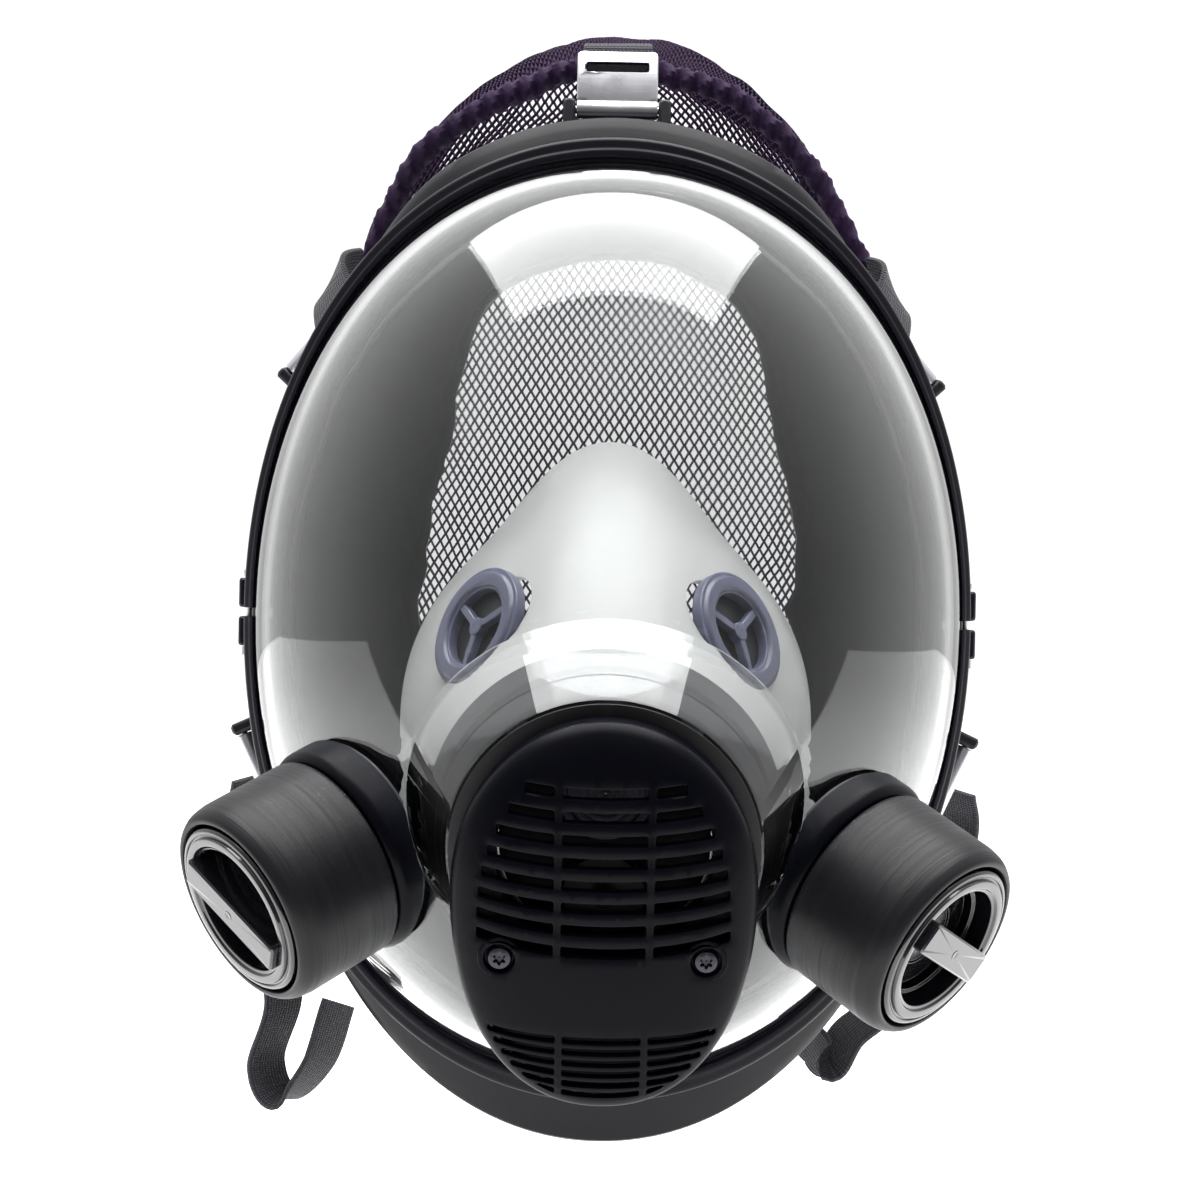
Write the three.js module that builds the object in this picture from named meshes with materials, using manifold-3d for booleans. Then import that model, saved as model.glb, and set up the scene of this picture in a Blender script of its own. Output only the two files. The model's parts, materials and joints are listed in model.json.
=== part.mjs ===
// Full face respirator with a panoramic lens, two side ports and a fabric head net.
// Millimetres. +Z is up and -Y is forward, out of the mask. The origin is the centre of the
// face opening, in the plane of the clamp frame's front edge. Left and right are as seen from the front.
import * as THREE from 'three';
import { mergeVertices } from 'three/addons/utils/BufferGeometryUtils.js';
import Module from 'manifold-3d';

const wasm = await Module();
wasm.setup();

// ---------------------------------------------------------------- driving dimensions
const GAP = 0.3; // between pieces that touch
const TAU = 2 * Math.PI;
const RAD = Math.PI / 180;

const ring = {
  halfWidth: 95, halfHeight: 120, power: 2.07, // outer outline of the clamp frame
  sweep: 30, // how far the outline bends back at its sides
  face: 9.5, sideScale: 0.55, // width of the front face, and its share of that at the sides
  front: -4, back: 12, wall: 2.5, split: 1.2, around: 36,
};
const lens = { bulge: 82, power: 2.6, wall: 2.4, rim: 8, along: 8 };
const boss = {
  centre: [0, -97, -48], tilt: 15.5, // front centre of the clear boss, and how far it looks down
  rim: 33.5, root: 39.8, length: 18, wall: 2.4, hole: 25.6, endWall: 2.4, around: 28,
};
const blank = {
  wall: 2.6,
  top: 9.5, chin: 15, sideTuck: 3.6, // how far the flare goes beyond the frame
  flatFrom: 25, flatTo: 55, // angles from the top between which it narrows
  sealRise: 1.65, // how fast the seal closes in at the sides, for each millimetre at the top
};
const housing = { bore: 22.9, sleeve: 25.2, plate: 2.2, depth: 20 };
const cover = {
  halfWidth: 32.2, top: 37.4, bottom: 49, centre: -7, power: 2.2, // egg outline
  depth: 11, wall: 2, back: 0.9, skirt: 3.5, around: 28, along: 5,
};
const coverScrew = { across: 21.5, down: -19.8, head: 2.6, shank: 1.3 };
const port = {
  tip: [78.9, -67, -68.4], axis: [0.7, -0.57, -0.43], length: 32, // plug face centre, and the way to the lens
  rowTilt: 2, // the row of two ports sits this far round from level
  radius: 24, collar: 25, neck: 12, throat: 10, nut: 15, bore: 14.8, socket: 20.5, socketDepth: 12,
};
const plug = { flange: 20, recess: 15, skirt: 19.6, barWidth: 7.5, turn: { left: 39, right: 22 } };
const valve = { centre: [29.5, -48, -2], normal: [0.74, -0.57, 0.35], radius: 14.5, opening: 9.3 };
const cup = { wall: 2.2, neck: 32.3, from: -20.8, to: -30, sideReach: 10, side: 50, tip: 17, bulge: 4 };
const net = { centre: [0, 110, 40], half: [86, 105, 129], wall: 3, edge: 83, edgeRise: 36 };
const buckle = { width: 21, height: 15, wall: 1.6, pin: 0.95, hole: 1.25, knuckle: 2.4, slot: 3 };
const strapWall = 1.6;

// ---------------------------------------------------------------- helpers
const vec = (x, y, z) => new THREE.Vector3(x, y, z);
const pt = (x, y) => new THREE.Vector2(x, y);
const smooth = (a, b, x) => THREE.MathUtils.smoothstep(x, a, b);

function warp(geometry, move) {
  const position = geometry.attributes.position;
  const p = vec(0, 0, 0);
  for (let i = 0; i < position.count; i += 1) {
    p.fromBufferAttribute(position, i);
    const q = move(p);
    position.setXYZ(i, q.x, q.y, q.z);
  }
  return geometry;
}

// A closed geometry as a solid, with its faces turned outwards.
function solid(geometry) {
  const bare = geometry.clone();
  bare.deleteAttribute('normal');
  bare.deleteAttribute('uv');
  const welded = mergeVertices(bare, 1e-3);
  const at = welded.attributes.position.array;
  const corners = Array.from(welded.index.array);
  const kept = [];
  let volume = 0;
  for (let i = 0; i < corners.length; i += 3) {
    const [a, b, c] = corners.slice(i, i + 3);
    if (a === b || b === c || c === a) continue;
    kept.push(a, b, c);
    const [p, q, r] = [a, b, c].map((n) => vec(at[3 * n], at[3 * n + 1], at[3 * n + 2]));
    volume += p.dot(q.cross(r));
  }
  if (volume < 0) kept.reverse();
  return new wasm.Manifold(new wasm.Mesh({
    numProp: 3, vertProperties: new Float32Array(at), triVerts: new Uint32Array(kept),
  }));
}

function lathe(profile, around = 24) {
  const closed = profile.map(([r, y]) => pt(r, y));
  if (profile[0][0] > 0) closed.push(closed[0].clone());
  return solid(new THREE.LatheGeometry(closed, around));
}
const washer = (inner, outer, from, to, around = 24) => lathe(
  [[inner, from], [outer, from], [outer, to], [inner, to]], around,
);
// A flat shape, drawn in X and Z, that spans from one Y to another.
function plate(shape, from, to) {
  const geometry = new THREE.ExtrudeGeometry(shape, { depth: to - from, bevelEnabled: false });
  return solid(geometry.rotateX(Math.PI / 2).translate(0, to, 0));
}
function block(x0, x1, y0, y1, z0, z1) {
  const box = new THREE.BoxGeometry(x1 - x0, y1 - y0, z1 - z0);
  return solid(box.translate((x0 + x1) / 2, (y0 + y1) / 2, (z0 + z1) / 2));
}
const rodX = (radius, length, x = 0, around = 12) => solid(
  new THREE.CylinderGeometry(radius, radius, length, around).rotateZ(Math.PI / 2).translate(x, 0, 0),
);
const rodZ = (radius, z0, z1, around = 12) => {
  const rod = new THREE.CylinderGeometry(radius, radius, z1 - z0, around);
  return solid(rod.rotateX(Math.PI / 2).translate(0, 0, (z0 + z1) / 2));
};
const join = (...parts) => parts.reduce((a, b) => a.add(b));
const cut = (body, ...tools) => tools.reduce((a, b) => a.subtract(b), body);

function geometryOf(body) {
  const mesh = body.getMesh();
  const geometry = new THREE.BufferGeometry();
  geometry.setAttribute('position', new THREE.BufferAttribute(mesh.vertProperties, 3));
  geometry.setIndex(new THREE.BufferAttribute(mesh.triVerts, 1));
  return geometry;
}
const moved = (body, matrix) => solid(geometryOf(body).applyMatrix4(matrix));

// A frame whose +Y is the given direction, with +Z as near to up as it goes.
function frameAt(origin, direction, up = vec(0, 0, 1)) {
  const y = direction.clone().normalize();
  const z = up.clone().addScaledVector(y, -up.dot(y)).normalize();
  const x = y.clone().cross(z);
  return new THREE.Matrix4().makeBasis(x, y, z).setPosition(origin);
}

// A closed shell over pointAt(angle, v, side), v from 0 to 1 and side 0 outside, 1 inside.
// With a pole, v = 0 is one point.
function shell(pointAt, around, along, pole) {
  const hub = pole ? 0 : 1;
  const profile = [];
  for (let i = 0; i <= along; i += 1) profile.push(pt(hub + i / along, 0));
  for (let i = along; i >= 0; i -= 1) profile.push(pt(hub + i / along, 1));
  if (!pole) profile.push(profile[0].clone());
  const carrier = new THREE.LatheGeometry(profile, around);
  return solid(warp(carrier, (p) => pointAt(Math.atan2(p.x, p.z), Math.hypot(p.x, p.z) - hub, p.y)));
}

// ---------------------------------------------------------------- the oval of frame, lens and blank
function oval(angle, offset) {
  const [s, c] = [Math.sin(angle), Math.cos(angle)];
  const rho = (Math.abs(s) ** ring.power + Math.abs(c) ** ring.power) ** (-1 / ring.power);
  const lip = Math.max(offset, -ring.face);
  const width = ring.halfWidth + ring.sideScale * lip + blank.sealRise * (offset - lip);
  return [width * rho * s, (ring.halfHeight + offset) * rho * c];
}
const swept = (x, y, z) => vec(x, y + ring.sweep * (x / ring.halfWidth) ** 2, z);

// A ring whose section is a list of [offset, depth]; flare moves the section outwards by angle and depth.
function ovalRing(section, flare = () => 0) {
  const hub = 200;
  const profile = section.map(([offset, y]) => pt(hub + offset, y));
  profile.push(profile[0].clone());
  return solid(warp(new THREE.LatheGeometry(profile, ring.around), (p) => {
    const angle = Math.atan2(p.x, p.z);
    const offset = Math.hypot(p.x, p.z) - hub;
    const [x, z] = oval(angle, offset + flare(angle, offset, p.y));
    return swept(x, p.y, z);
  }));
}

// A point of the lens, v from 0 at its middle to 1 at its edge, and past 1 on its straight rim.
function lensPoint(angle, v, grow) {
  const [ex, ez] = oval(angle, -ring.face);
  const s = Math.sin(Math.min(v, 1) * Math.PI / 2);
  const c = Math.max(0, 1 - s ** lens.power) ** (1 / lens.power);
  const [w, h] = [ring.halfWidth - ring.sideScale * ring.face, ring.halfHeight - ring.face];
  const rim = Math.max(0, v - 1) * lens.along * lens.rim;
  return swept(ex * s * (w + grow) / w, -(lens.bulge + grow) * c + rim, ez * s * (h + grow) / h);
}
// Everything behind a surface that stands off the lens's outside by grow.
const behindLens = (grow) => shell((angle, v, side) => {
  const p = lensPoint(angle, side ? 1 : v, grow);
  return side ? vec(p.x * v, 90, p.z * v) : p;
}, ring.around, lens.along, true);

// ---------------------------------------------------------------- local frames
const bossOut = vec(0, -Math.cos(boss.tilt * RAD), -Math.sin(boss.tilt * RAD));
const bossFrame = frameAt(vec(...boss.centre), bossOut);
function portFrame(side) {
  const flip = vec(side === 'left' ? -1 : 1, 1, 1);
  const [tip, out] = [port.tip, port.axis].map(
    (p) => vec(...p).multiply(flip).applyAxisAngle(vec(0, 1, 0), port.rowTilt * RAD),
  );
  return frameAt(tip, out);
}
const sides = ['left', 'right'];
const inverse = (matrix) => matrix.clone().invert();

// ---------------------------------------------------------------- parts list
const respirator = new THREE.Group();
respirator.name = 'full_face_respirator';
const finish = (color, roughness, metalness = 0, extra = {}) => () => new THREE.MeshStandardMaterial({
  color, roughness, metalness, ...extra,
});
const looks = {
  rubber: finish(0x16151c, 0.55),
  plastic: finish(0x17161f, 0.35),
  turned: finish(0x1b1a21, 0.42),
  gloss: finish(0x101016, 0.12),
  clear: finish(0xeef3f4, 0.04, 0, { transparent: true, opacity: 0.25 }),
  silicone: finish(0xc8c8c6, 0.4, 0, { transparent: true, opacity: 0.75 }),
  valve: finish(0x55566b, 0.4),
  flap: finish(0x121218, 0.6),
  steel: finish(0xb9bbc2, 0.3, 1),
  net: finish(0x32203f, 0.9),
  webbing: finish(0x35323c, 0.85),
};
function piece(name, body, look, matrix = null) {
  const mesh = new THREE.Mesh(geometryOf(body), looks[look]());
  mesh.name = name;
  if (matrix) matrix.decompose(mesh.position, mesh.quaternion, mesh.scale);
  respirator.add(mesh);
  return body;
}

// ---------------------------------------------------------------- clamp frame
function clampFrame() {
  const { front, back, wall, face } = ring;
  const whole = ovalRing([
    [-face + 0.4, front + 1.2], [-face + 2.8, front + 0.2], [-face + 3.1, front + 1],
    [-face + 4.2, front + 1], [-face + 4.5, front - 0.6], [-face + 6.3, front - 0.6], [-face + 6.6, front],
    [-0.7, front], [0, front + 0.8], [0, back - 0.8], [-0.7, back], [-6, back],
    [-6, back - wall + 0.3], [-wall, back - wall + 0.3], [-wall, front + wall], [-face + 0.4, front + wall],
  ]);
  const lug = { x0: 94.2, x1: 98, y0: 38, y1: 50, height: 9, screwY: 45.5 };
  const half = (sign) => {
    const reach = 200;
    const [bottom, ceiling] = sign > 0 ? [ring.split, reach] : [-reach, -ring.split];
    const keep = block(-reach, reach, -reach, reach, bottom, ceiling);
    const ears = [-1, 1].map((side) => {
      const [a, b] = side > 0 ? [lug.x0, lug.x1] : [-lug.x1, -lug.x0];
      const [low, high] = sign > 0 ? [ring.split, lug.height] : [-lug.height, -ring.split];
      const hole = moved(rodZ(1.35, -20, 20), new THREE.Matrix4().setPosition((a + b) / 2, lug.screwY, 0));
      return cut(block(a, b, lug.y0, lug.y1, low, high), hole);
    });
    return join(whole.intersect(keep), ...ears);
  };
  piece('upper_frame', half(1), 'plastic');
  piece('lower_frame', half(-1), 'plastic');
  const screw = join(rodZ(1, -12.6, lug.height + GAP + 0.01), rodZ(1.8, lug.height + GAP, lug.height + 2.2));
  const nut = cut(rodZ(2, -lug.height - 2.6, -lug.height - GAP, 6), rodZ(1.3, -20, 0));
  for (const side of sides) {
    const x = (side === 'left' ? -1 : 1) * (lug.x0 + lug.x1) / 2;
    const place = new THREE.Matrix4().setPosition(x, lug.screwY, 0);
    piece(`frame_screw_${side}`, screw, 'steel', place);
    piece(`frame_nut_${side}`, nut, 'steel', place);
  }
}

// ---------------------------------------------------------------- face blank
function flareAt(angle, y) {
  const turn = Math.abs(angle) / RAD;
  const top = blank.top * (1 - smooth(blank.flatFrom, blank.flatTo, turn));
  const chin = turn > 90 ? blank.chin * Math.cos(angle) ** 2 : 0;
  const tuck = blank.sideTuck * Math.sin(angle) ** 4; // the sides stay inside the frame's outline
  return (top + chin - tuck) * smooth(12, 18, y) * (1 - 0.35 * smooth(34, 60, y));
}
const blankOuter = (angle, y) => {
  const [x, z] = oval(angle, flareAt(angle, y));
  return swept(x, y, z);
};

function anchorFrames() {
  const set = {};
  const place = (name, angle, y, lead, lift) => {
    const at = blankOuter(angle, y);
    const outward = vec(at.x, 0, at.z).normalize();
    at.addScaledVector(outward, lift);
    const pull = lead.clone().addScaledVector(outward, -lead.dot(outward)).normalize();
    const inward = outward.clone().negate();
    const x = inward.clone().cross(pull);
    set[name] = new THREE.Matrix4().makeBasis(x, inward, pull).setPosition(at);
  };
  const top = vec(0, 24, ring.halfHeight + blank.top + 2.8);
  const lean = vec(0, 0.2, 0.98).normalize();
  const across = vec(1, 0, 0);
  set.top = new THREE.Matrix4().makeBasis(across, lean.clone().cross(across), lean).setPosition(top);
  place('temple_left', -54 * RAD, 38, vec(0, 1, 0.35), 5);
  place('temple_right', 54 * RAD, 38, vec(0, 1, 0.35), 5);
  place('cheek_left', -110 * RAD, 26, vec(0, 1, -0.05), 4.8);
  place('cheek_right', 110 * RAD, 26, vec(0, 1, -0.05), 4.8);
  return set;
}
const anchors = anchorFrames();

function lugs(name) {
  const inner = buckle.width / 2 + GAP;
  const reach = name === 'top' ? [-2.4, 2.4, -5, 2.4] : [-2.4, 9.5, -3.6, 2.4];
  const tabs = [-1, 1].map((side) => {
    const [a, b] = side > 0 ? [inner, inner + 3.2] : [-inner - 3.2, -inner];
    return block(a, b, ...reach);
  });
  return cut(join(...tabs), rodX(buckle.hole, 40));
}

function faceBlank() {
  const t = blank.wall;
  const section = [
    [-9.2, -1.2], [-2.8, -1.2], [-2.8, 9.2], [-6.3, 9.2], [-6.3, 12.4], [-1.5, 14], [0, 18],
    [0, 32], [-3, 46], [-9, 56], [-18, 60], [-27, 56], [-31, 46],
    [-31 + t, 45.4], [-25.4, 53.2], [-18, 57], [-11, 53.4], [-5.4, 44.6], [-t, 32], [-t, 20],
    [-9.4, 15], [-14, 12], [-14, 2.5], [-12.6, 2.5], [-12.6, lens.rim + 0.5], [-9.2, lens.rim + 0.5],
  ];
  const flare = (angle, offset, y) => flareAt(angle, y);
  const body = ovalRing(section, flare);
  const tabs = Object.entries(anchors).map(([name, frame]) => moved(lugs(name), frame));
  piece('face_blank', join(body, ...tabs), 'rubber');
}

// ---------------------------------------------------------------- lens
const bossCone = (grow, from, to) => {
  const slope = (boss.root - boss.rim) / boss.length;
  const at = (y) => boss.rim - slope * y + grow;
  return lathe([[0, from], [at(from), from], [at(to), to], [0, to]], boss.around);
};
function visor() {
  const toRim = (lens.along + 1) / lens.along;
  const dome = shell(
    (angle, v, side) => lensPoint(angle, v * toRim, side ? -lens.wall : 0), ring.around, lens.along + 1, true,
  );
  const toBoss = inverse(bossFrame);
  const local = moved(dome, toBoss);
  const inside = moved(behindLens(-lens.wall), toBoss);
  const mouth = washer(0, boss.hole, -4, 1, boss.around);
  const wallCone = cut(bossCone(0, -60, 0), bossCone(-boss.wall, -60, -boss.endWall), mouth);
  const shaped = join(cut(local, bossCone(-boss.wall, -60, -boss.endWall)), cut(wallCone, inside));
  const holes = sides.map((side) => moved(washer(0, port.neck + 0.4, -60, -20), portFrame(side)));
  piece('visor', cut(moved(shaped, bossFrame), ...holes), 'clear');
}

// ---------------------------------------------------------------- valve housing in the boss
function eggShape(inset) {
  const shape = new THREE.Shape();
  const steps = cover.around;
  for (let i = 0; i < steps; i += 1) {
    const [x, z] = eggPoint(-TAU * i / steps, inset);
    if (i) shape.lineTo(x, z); else shape.moveTo(x, z);
  }
  return shape;
}
function eggPoint(angle, inset) {
  const [s, c] = [Math.sin(angle), Math.cos(angle)];
  const power = c < 0 ? cover.power : 2;
  const rho = (Math.abs(s) ** power + Math.abs(c) ** power) ** (-1 / power);
  const height = (c < 0 ? cover.bottom : cover.top) - inset;
  return [(cover.halfWidth - inset) * rho * s, cover.centre + height * rho * c];
}
function arc(radius, from, to, steps) {
  return Array.from({ length: steps + 1 }, (_, i) => {
    const angle = from + (to - from) * i / steps;
    return pt(radius * Math.cos(angle), radius * Math.sin(angle));
  });
}
// Three open sectors between a hub and a rim, left by three spokes.
function spoked(outer, opening, hub, spoke, from, to) {
  const shape = new THREE.Shape(arc(outer, 0, TAU, 24).slice(1));
  for (let i = 0; i < 3; i += 1) {
    const [a, b] = [i * TAU / 3 + Math.PI / 2, (i + 1) * TAU / 3 + Math.PI / 2];
    const [near, far] = [spoke / 2 / hub, spoke / 2 / opening];
    const [outside, inside] = [arc(opening, a + far, b - far, 6), arc(hub, b - near, a + near, 1)];
    shape.holes.push(new THREE.Path([...outside, ...inside]));
  }
  return plate(shape, from, to);
}
const shifted = (body, x, y, z) => moved(body, new THREE.Matrix4().setPosition(x, y, z));

function frontValves() {
  const { bore, sleeve, plate: thick, depth } = housing;
  const flangeBack = 1; // in front of the gasket
  const body = eggShape(cover.wall + 0.5);
  body.holes.push(new THREE.Path(arc(bore, TAU, 0, boss.around).slice(1)));
  const atScrew = (side, b) => shifted(b, side * coverScrew.across, 0, coverScrew.down);
  const posts = [-1, 1].map((side) => atScrew(side, washer(1.6, 3.2, flangeBack, 7, 12)));
  const wells = [-1, 1].map((side) => atScrew(side, washer(0, 1.6, -1, 9, 12)));
  const tube = washer(bore, sleeve, -depth, flangeBack + 0.5, boss.around);
  const shellBody = join(plate(body, flangeBack, flangeBack + thick), tube, ...posts);
  piece('valve_housing', cut(shellBody, ...wells), 'plastic', bossFrame);
  const sealed = washer(sleeve + GAP, boss.rim - 0.6, GAP, flangeBack - GAP, boss.around);
  piece('housing_gasket', sealed, 'flap', bossFrame);
  const slope = (boss.root - boss.rim) / boss.length;
  const clear = (y) => boss.rim - slope * y - boss.wall - 0.5;
  const nutFrom = -12.5;
  const nutTo = -boss.endWall - GAP;
  const threaded = sleeve + GAP;
  piece('housing_nut', lathe([
    [threaded, nutFrom], [clear(nutFrom), nutFrom], [clear(nutTo), nutTo], [threaded, nutTo],
  ], boss.around), 'plastic', bossFrame);
  piece('cup_connector', lathe([
    [threaded, -19.5], [cup.neck - 3, -29], [cup.neck - GAP, -29], [cup.neck - GAP, cup.from + GAP],
    [clear(cup.from + GAP), cup.from + GAP], [clear(nutFrom - GAP), nutFrom - GAP], [threaded, nutFrom - GAP],
  ], boss.around), 'plastic', bossFrame);
  // The plate inside the sleeve holds the speech diaphragm above and the exhalation valve below.
  const level = 11;
  const windows = [level, -level].map((z) => shifted(washer(0, 8, -10, -5), 0, 0, z));
  piece('valve_plate', cut(washer(0, bore - GAP, -9, -6.5), ...windows), 'plastic', bossFrame);
  piece('speech_diaphragm', shifted(lathe([
    [0, -5.7], [8.2, -5.7], [8.2, -6.2], [9.9, -6.2], [9.9, -4.4], [8.2, -4.4], [8.2, -5.2], [0, -5.2],
  ], 24), 0, 0, level), 'steel', bossFrame);
  const stem = join(washer(0, 1.1, -5, -1.2, 8), washer(0, 2.2, -1.9, -1.2, 8));
  const seat = join(spoked(9.9, 7.6, 2.2, 1.6, -6.2, -4.4), stem);
  piece('exhalation_seat', shifted(seat, 0, 0, -level), 'plastic', bossFrame);
  piece('exhalation_disc', shifted(washer(1.4, 8.8, -4.1, -3.4, 24), 0, 0, -level), 'flap', bossFrame);
}

// ---------------------------------------------------------------- slotted exhalation cover
const eggHalfWidth = (z) => {
  const below = z < cover.centre;
  const t = Math.min(1, Math.abs(z - cover.centre) / (below ? cover.bottom : cover.top));
  const power = below ? cover.power : 2;
  return cover.halfWidth * (1 - t ** power) ** (1 / power);
};
// A row of slots that sags at its middle, broken by two ribs.
function slotRow(z, half, height, sag, ribAt, ribWidth) {
  const curve = (x) => z - sag * (1 - (x / half) ** 2) + sag / 2;
  const [near, far] = [ribAt - ribWidth / 2, ribAt + ribWidth / 2];
  const spans = [[-half, -far], [-near, near], [far, half]];
  return spans.filter(([a, b]) => b - a > height).map(([a, b]) => {
    const lower = [a, b].map((x) => pt(x, curve(x) - height / 2));
    const upper = [b, a].map((x) => pt(x, curve(x) + height / 2));
    const shape = new THREE.Shape([...lower, ...upper]);
    return plate(shape, 4, cover.back + cover.depth + 4);
  });
}
function exhalationCover() {
  const front = cover.back + cover.depth;
  const body = shell((angle, v, side) => {
    const [x, z] = eggPoint(angle, side ? cover.wall : 0);
    const crown = 1 - 1 / cover.along; // the rest is the straight skirt
    const s = Math.min(1, v / crown);
    const rise = cover.depth - cover.skirt - (side ? cover.wall : 0);
    const drop = cover.skirt * Math.max(0, v - crown) / (1 - crown);
    const y = cover.back + cover.skirt + rise * Math.sqrt(Math.max(0, 1 - s ** 4)) - drop;
    return vec(x * s, y, cover.centre + (z - cover.centre) * s);
  }, cover.around, cover.along, true);
  const at = (side, b) => shifted(b, side * coverScrew.across, 0, coverScrew.down);
  const tubes = [-1, 1].map((side) => at(side, washer(0, 4.6, 7.4, 10.4, 16)));
  const bore = join(washer(0, 3.25, 8.9, front + 2, 16), washer(0, 1.7, 6, 10, 12));
  const bores = [-1, 1].map((side) => at(side, bore));
  const slots = [];
  for (let row = 0; row < 8; row += 1) {
    const z = 17.2 - 4.75 * row;
    slots.push(...slotRow(z, eggHalfWidth(z) - 8 + 0.35 * row, 2.2, 1 + 0.4 * row, 9.6, 1.7));
  }
  for (let row = 0; row < 6; row += 1) {
    const z = -37.2 - 2.75 * row;
    slots.push(...slotRow(z, eggHalfWidth(z) - 2.6, 1.5, 1.6, 9, 1.6));
  }
  piece('exhalation_cover', cut(join(body, ...tubes), ...bores, ...slots), 'plastic', bossFrame);
  const screw = join(washer(0, coverScrew.head, 9.2, 10.8, 12), washer(0, coverScrew.shank, 3.2, 9.3, 12));
  piece('cover_screw_left', at(1, screw), 'steel', bossFrame);
  piece('cover_screw_right', at(-1, screw), 'steel', bossFrame);
}

// ---------------------------------------------------------------- side ports
function sidePort(side) {
  const frame = portFrame(side);
  const toPort = inverse(frame);
  const { radius, collar, neck, throat, bore, socket, socketDepth } = port;
  const split = 5 - port.length; // where the turned tube ends and the smooth collar begins
  const past = -58; // well inside the lens
  const behind = (grow) => moved(behindLens(grow), toPort);
  const besideBoss = moved(bossCone(GAP, -50, 0), toPort.clone().multiply(bossFrame));
  const gap = neck + GAP;
  const nutBack = -lens.wall - 5;
  piece(`port_tube_${side}`, cut(lathe([
    [throat, past], [neck, past], [neck, split], [radius - 0.7, split], [radius, split + 0.8], [radius, -7],
    [radius - 0.7, -2.2], [radius - 1.8, -0.4], [socket + 0.25, -0.4], [socket + 0.25, -socketDepth],
    [bore, -socketDepth], [bore, split + 4], [throat, split + 4],
  ]), behind(nutBack - 1)), 'turned', frame);
  piece(`port_collar_${side}`, cut(lathe([
    [gap, past], [collar, past], [collar, split - 3], [collar - 1.2, split - GAP], [gap, split - GAP],
  ]), behind(1.6), besideBoss), 'gloss', frame);
  const sealed = washer(gap, collar - 0.8, past, -20).intersect(behind(1.6 - GAP));
  piece(`port_gasket_${side}`, cut(sealed, behind(GAP), besideBoss), 'flap', frame);
  const nut = washer(gap, port.nut, past, -30).intersect(behind(-lens.wall - GAP));
  piece(`port_nut_${side}`, cut(nut, behind(nutBack)), 'plastic', frame);
  piece(`port_valve_seat_${side}`, spoked(bore - GAP, 11.8, 2.4, 2, -20, -18), 'valve', frame);
  piece(`port_valve_disc_${side}`, washer(0, 12.6, -21.1, -20.3, 24), 'flap', frame);
  const turn = new THREE.Matrix4().makeRotationY(-plug.turn[side] * RAD);
  const body = lathe([
    [0, -8.5], [14, -8.5], [14, -10.4], [plug.skirt, -10.4], [plug.skirt, -3.2], [plug.flange, -2.6],
    [plug.flange, -0.2], [plug.flange - 0.9, 0.7], [plug.recess + 1.6, 0.9], [plug.recess, 0.1],
    [plug.recess - 0.6, -6.5], [0, -6.5],
  ]);
  const half = plug.barWidth / 2;
  const bar = block(-plug.recess - 0.6, plug.recess + 0.6, -7, 2.6, -half, half);
  piece(`plug_${side}`, moved(join(body, bar), turn), 'gloss', frame);
  piece(`plug_gasket_${side}`, washer(15, plug.skirt, -socketDepth + GAP, -10.4 - GAP), 'flap', frame);
}

// ---------------------------------------------------------------- nose cup
function cupEdge(angle) {
  const turn = Math.abs(angle) / RAD;
  const reach = cup.side + cup.tip * (Math.exp(-((turn / 22) ** 2)) + Math.exp(-(((180 - turn) / 40) ** 2)));
  const side = Math.sin(angle) ** 2;
  return vec(reach * Math.sin(angle), -4 + 18 * side, -25 + reach * Math.cos(angle));
}
function cupNeck(angle, y) {
  return vec(-cup.neck * Math.sin(angle), y, cup.neck * Math.cos(angle)).applyMatrix4(bossFrame);
}
function cupPoint(angle, v, side) {
  const neckShare = 0.25; // the first part of the cup runs straight back from the neck
  const outward = vec(-Math.sin(angle), 0, Math.cos(angle)).transformDirection(bossFrame);
  const thick = side ? 0 : cup.wall;
  const neckEnd = cup.to - cup.sideReach * Math.sin(angle) ** 2;
  if (v <= neckShare) {
    return cupNeck(angle, cup.from + (neckEnd - cup.from) * v / neckShare).addScaledVector(outward, thick);
  }
  const t = (v - neckShare) / (1 - neckShare);
  const at = cupNeck(angle, neckEnd).lerp(cupEdge(angle), t);
  return at.addScaledVector(outward, cup.bulge * Math.sin(Math.PI * t) + thick);
}
const valveFrame = (side) => {
  const flip = vec(side === 'left' ? -1 : 1, 1, 1);
  return frameAt(vec(...valve.centre).multiply(flip), vec(...valve.normal).multiply(flip));
};
function noseCup() {
  const holes = sides.map((side) => moved(washer(0, valve.radius + GAP, -9, 9), valveFrame(side)));
  const body = shell(cupPoint, 28, 8, false);
  piece('nose_cup', cut(body, ...holes), 'silicone');
  for (const side of sides) {
    const seat = join(
      spoked(valve.radius, valve.opening, 2.2, 1.8, -1.5, 1.2),
      washer(valve.opening + 1, valve.radius - 1, 1.1, 2, 24),
    );
    piece(`cup_valve_seat_${side}`, seat, 'valve', valveFrame(side));
    piece(`cup_valve_disc_${side}`, washer(0, valve.opening + 1.2, -2.6, -1.8, 24), 'flap', valveFrame(side));
  }
}

// ---------------------------------------------------------------- head net, straps and buckles
function netPoint(angle, v, side) {
  const reach = (net.edge + net.edgeRise * Math.cos(angle)) * RAD * v;
  const shrink = side ? net.wall : 0;
  const [a, b, c] = net.half.map((half) => half - shrink);
  const [cx, cy, cz] = net.centre;
  return vec(
    cx + a * Math.sin(reach) * Math.sin(angle),
    cy + b * Math.cos(reach),
    cz + c * Math.sin(reach) * Math.cos(angle),
  );
}
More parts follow.
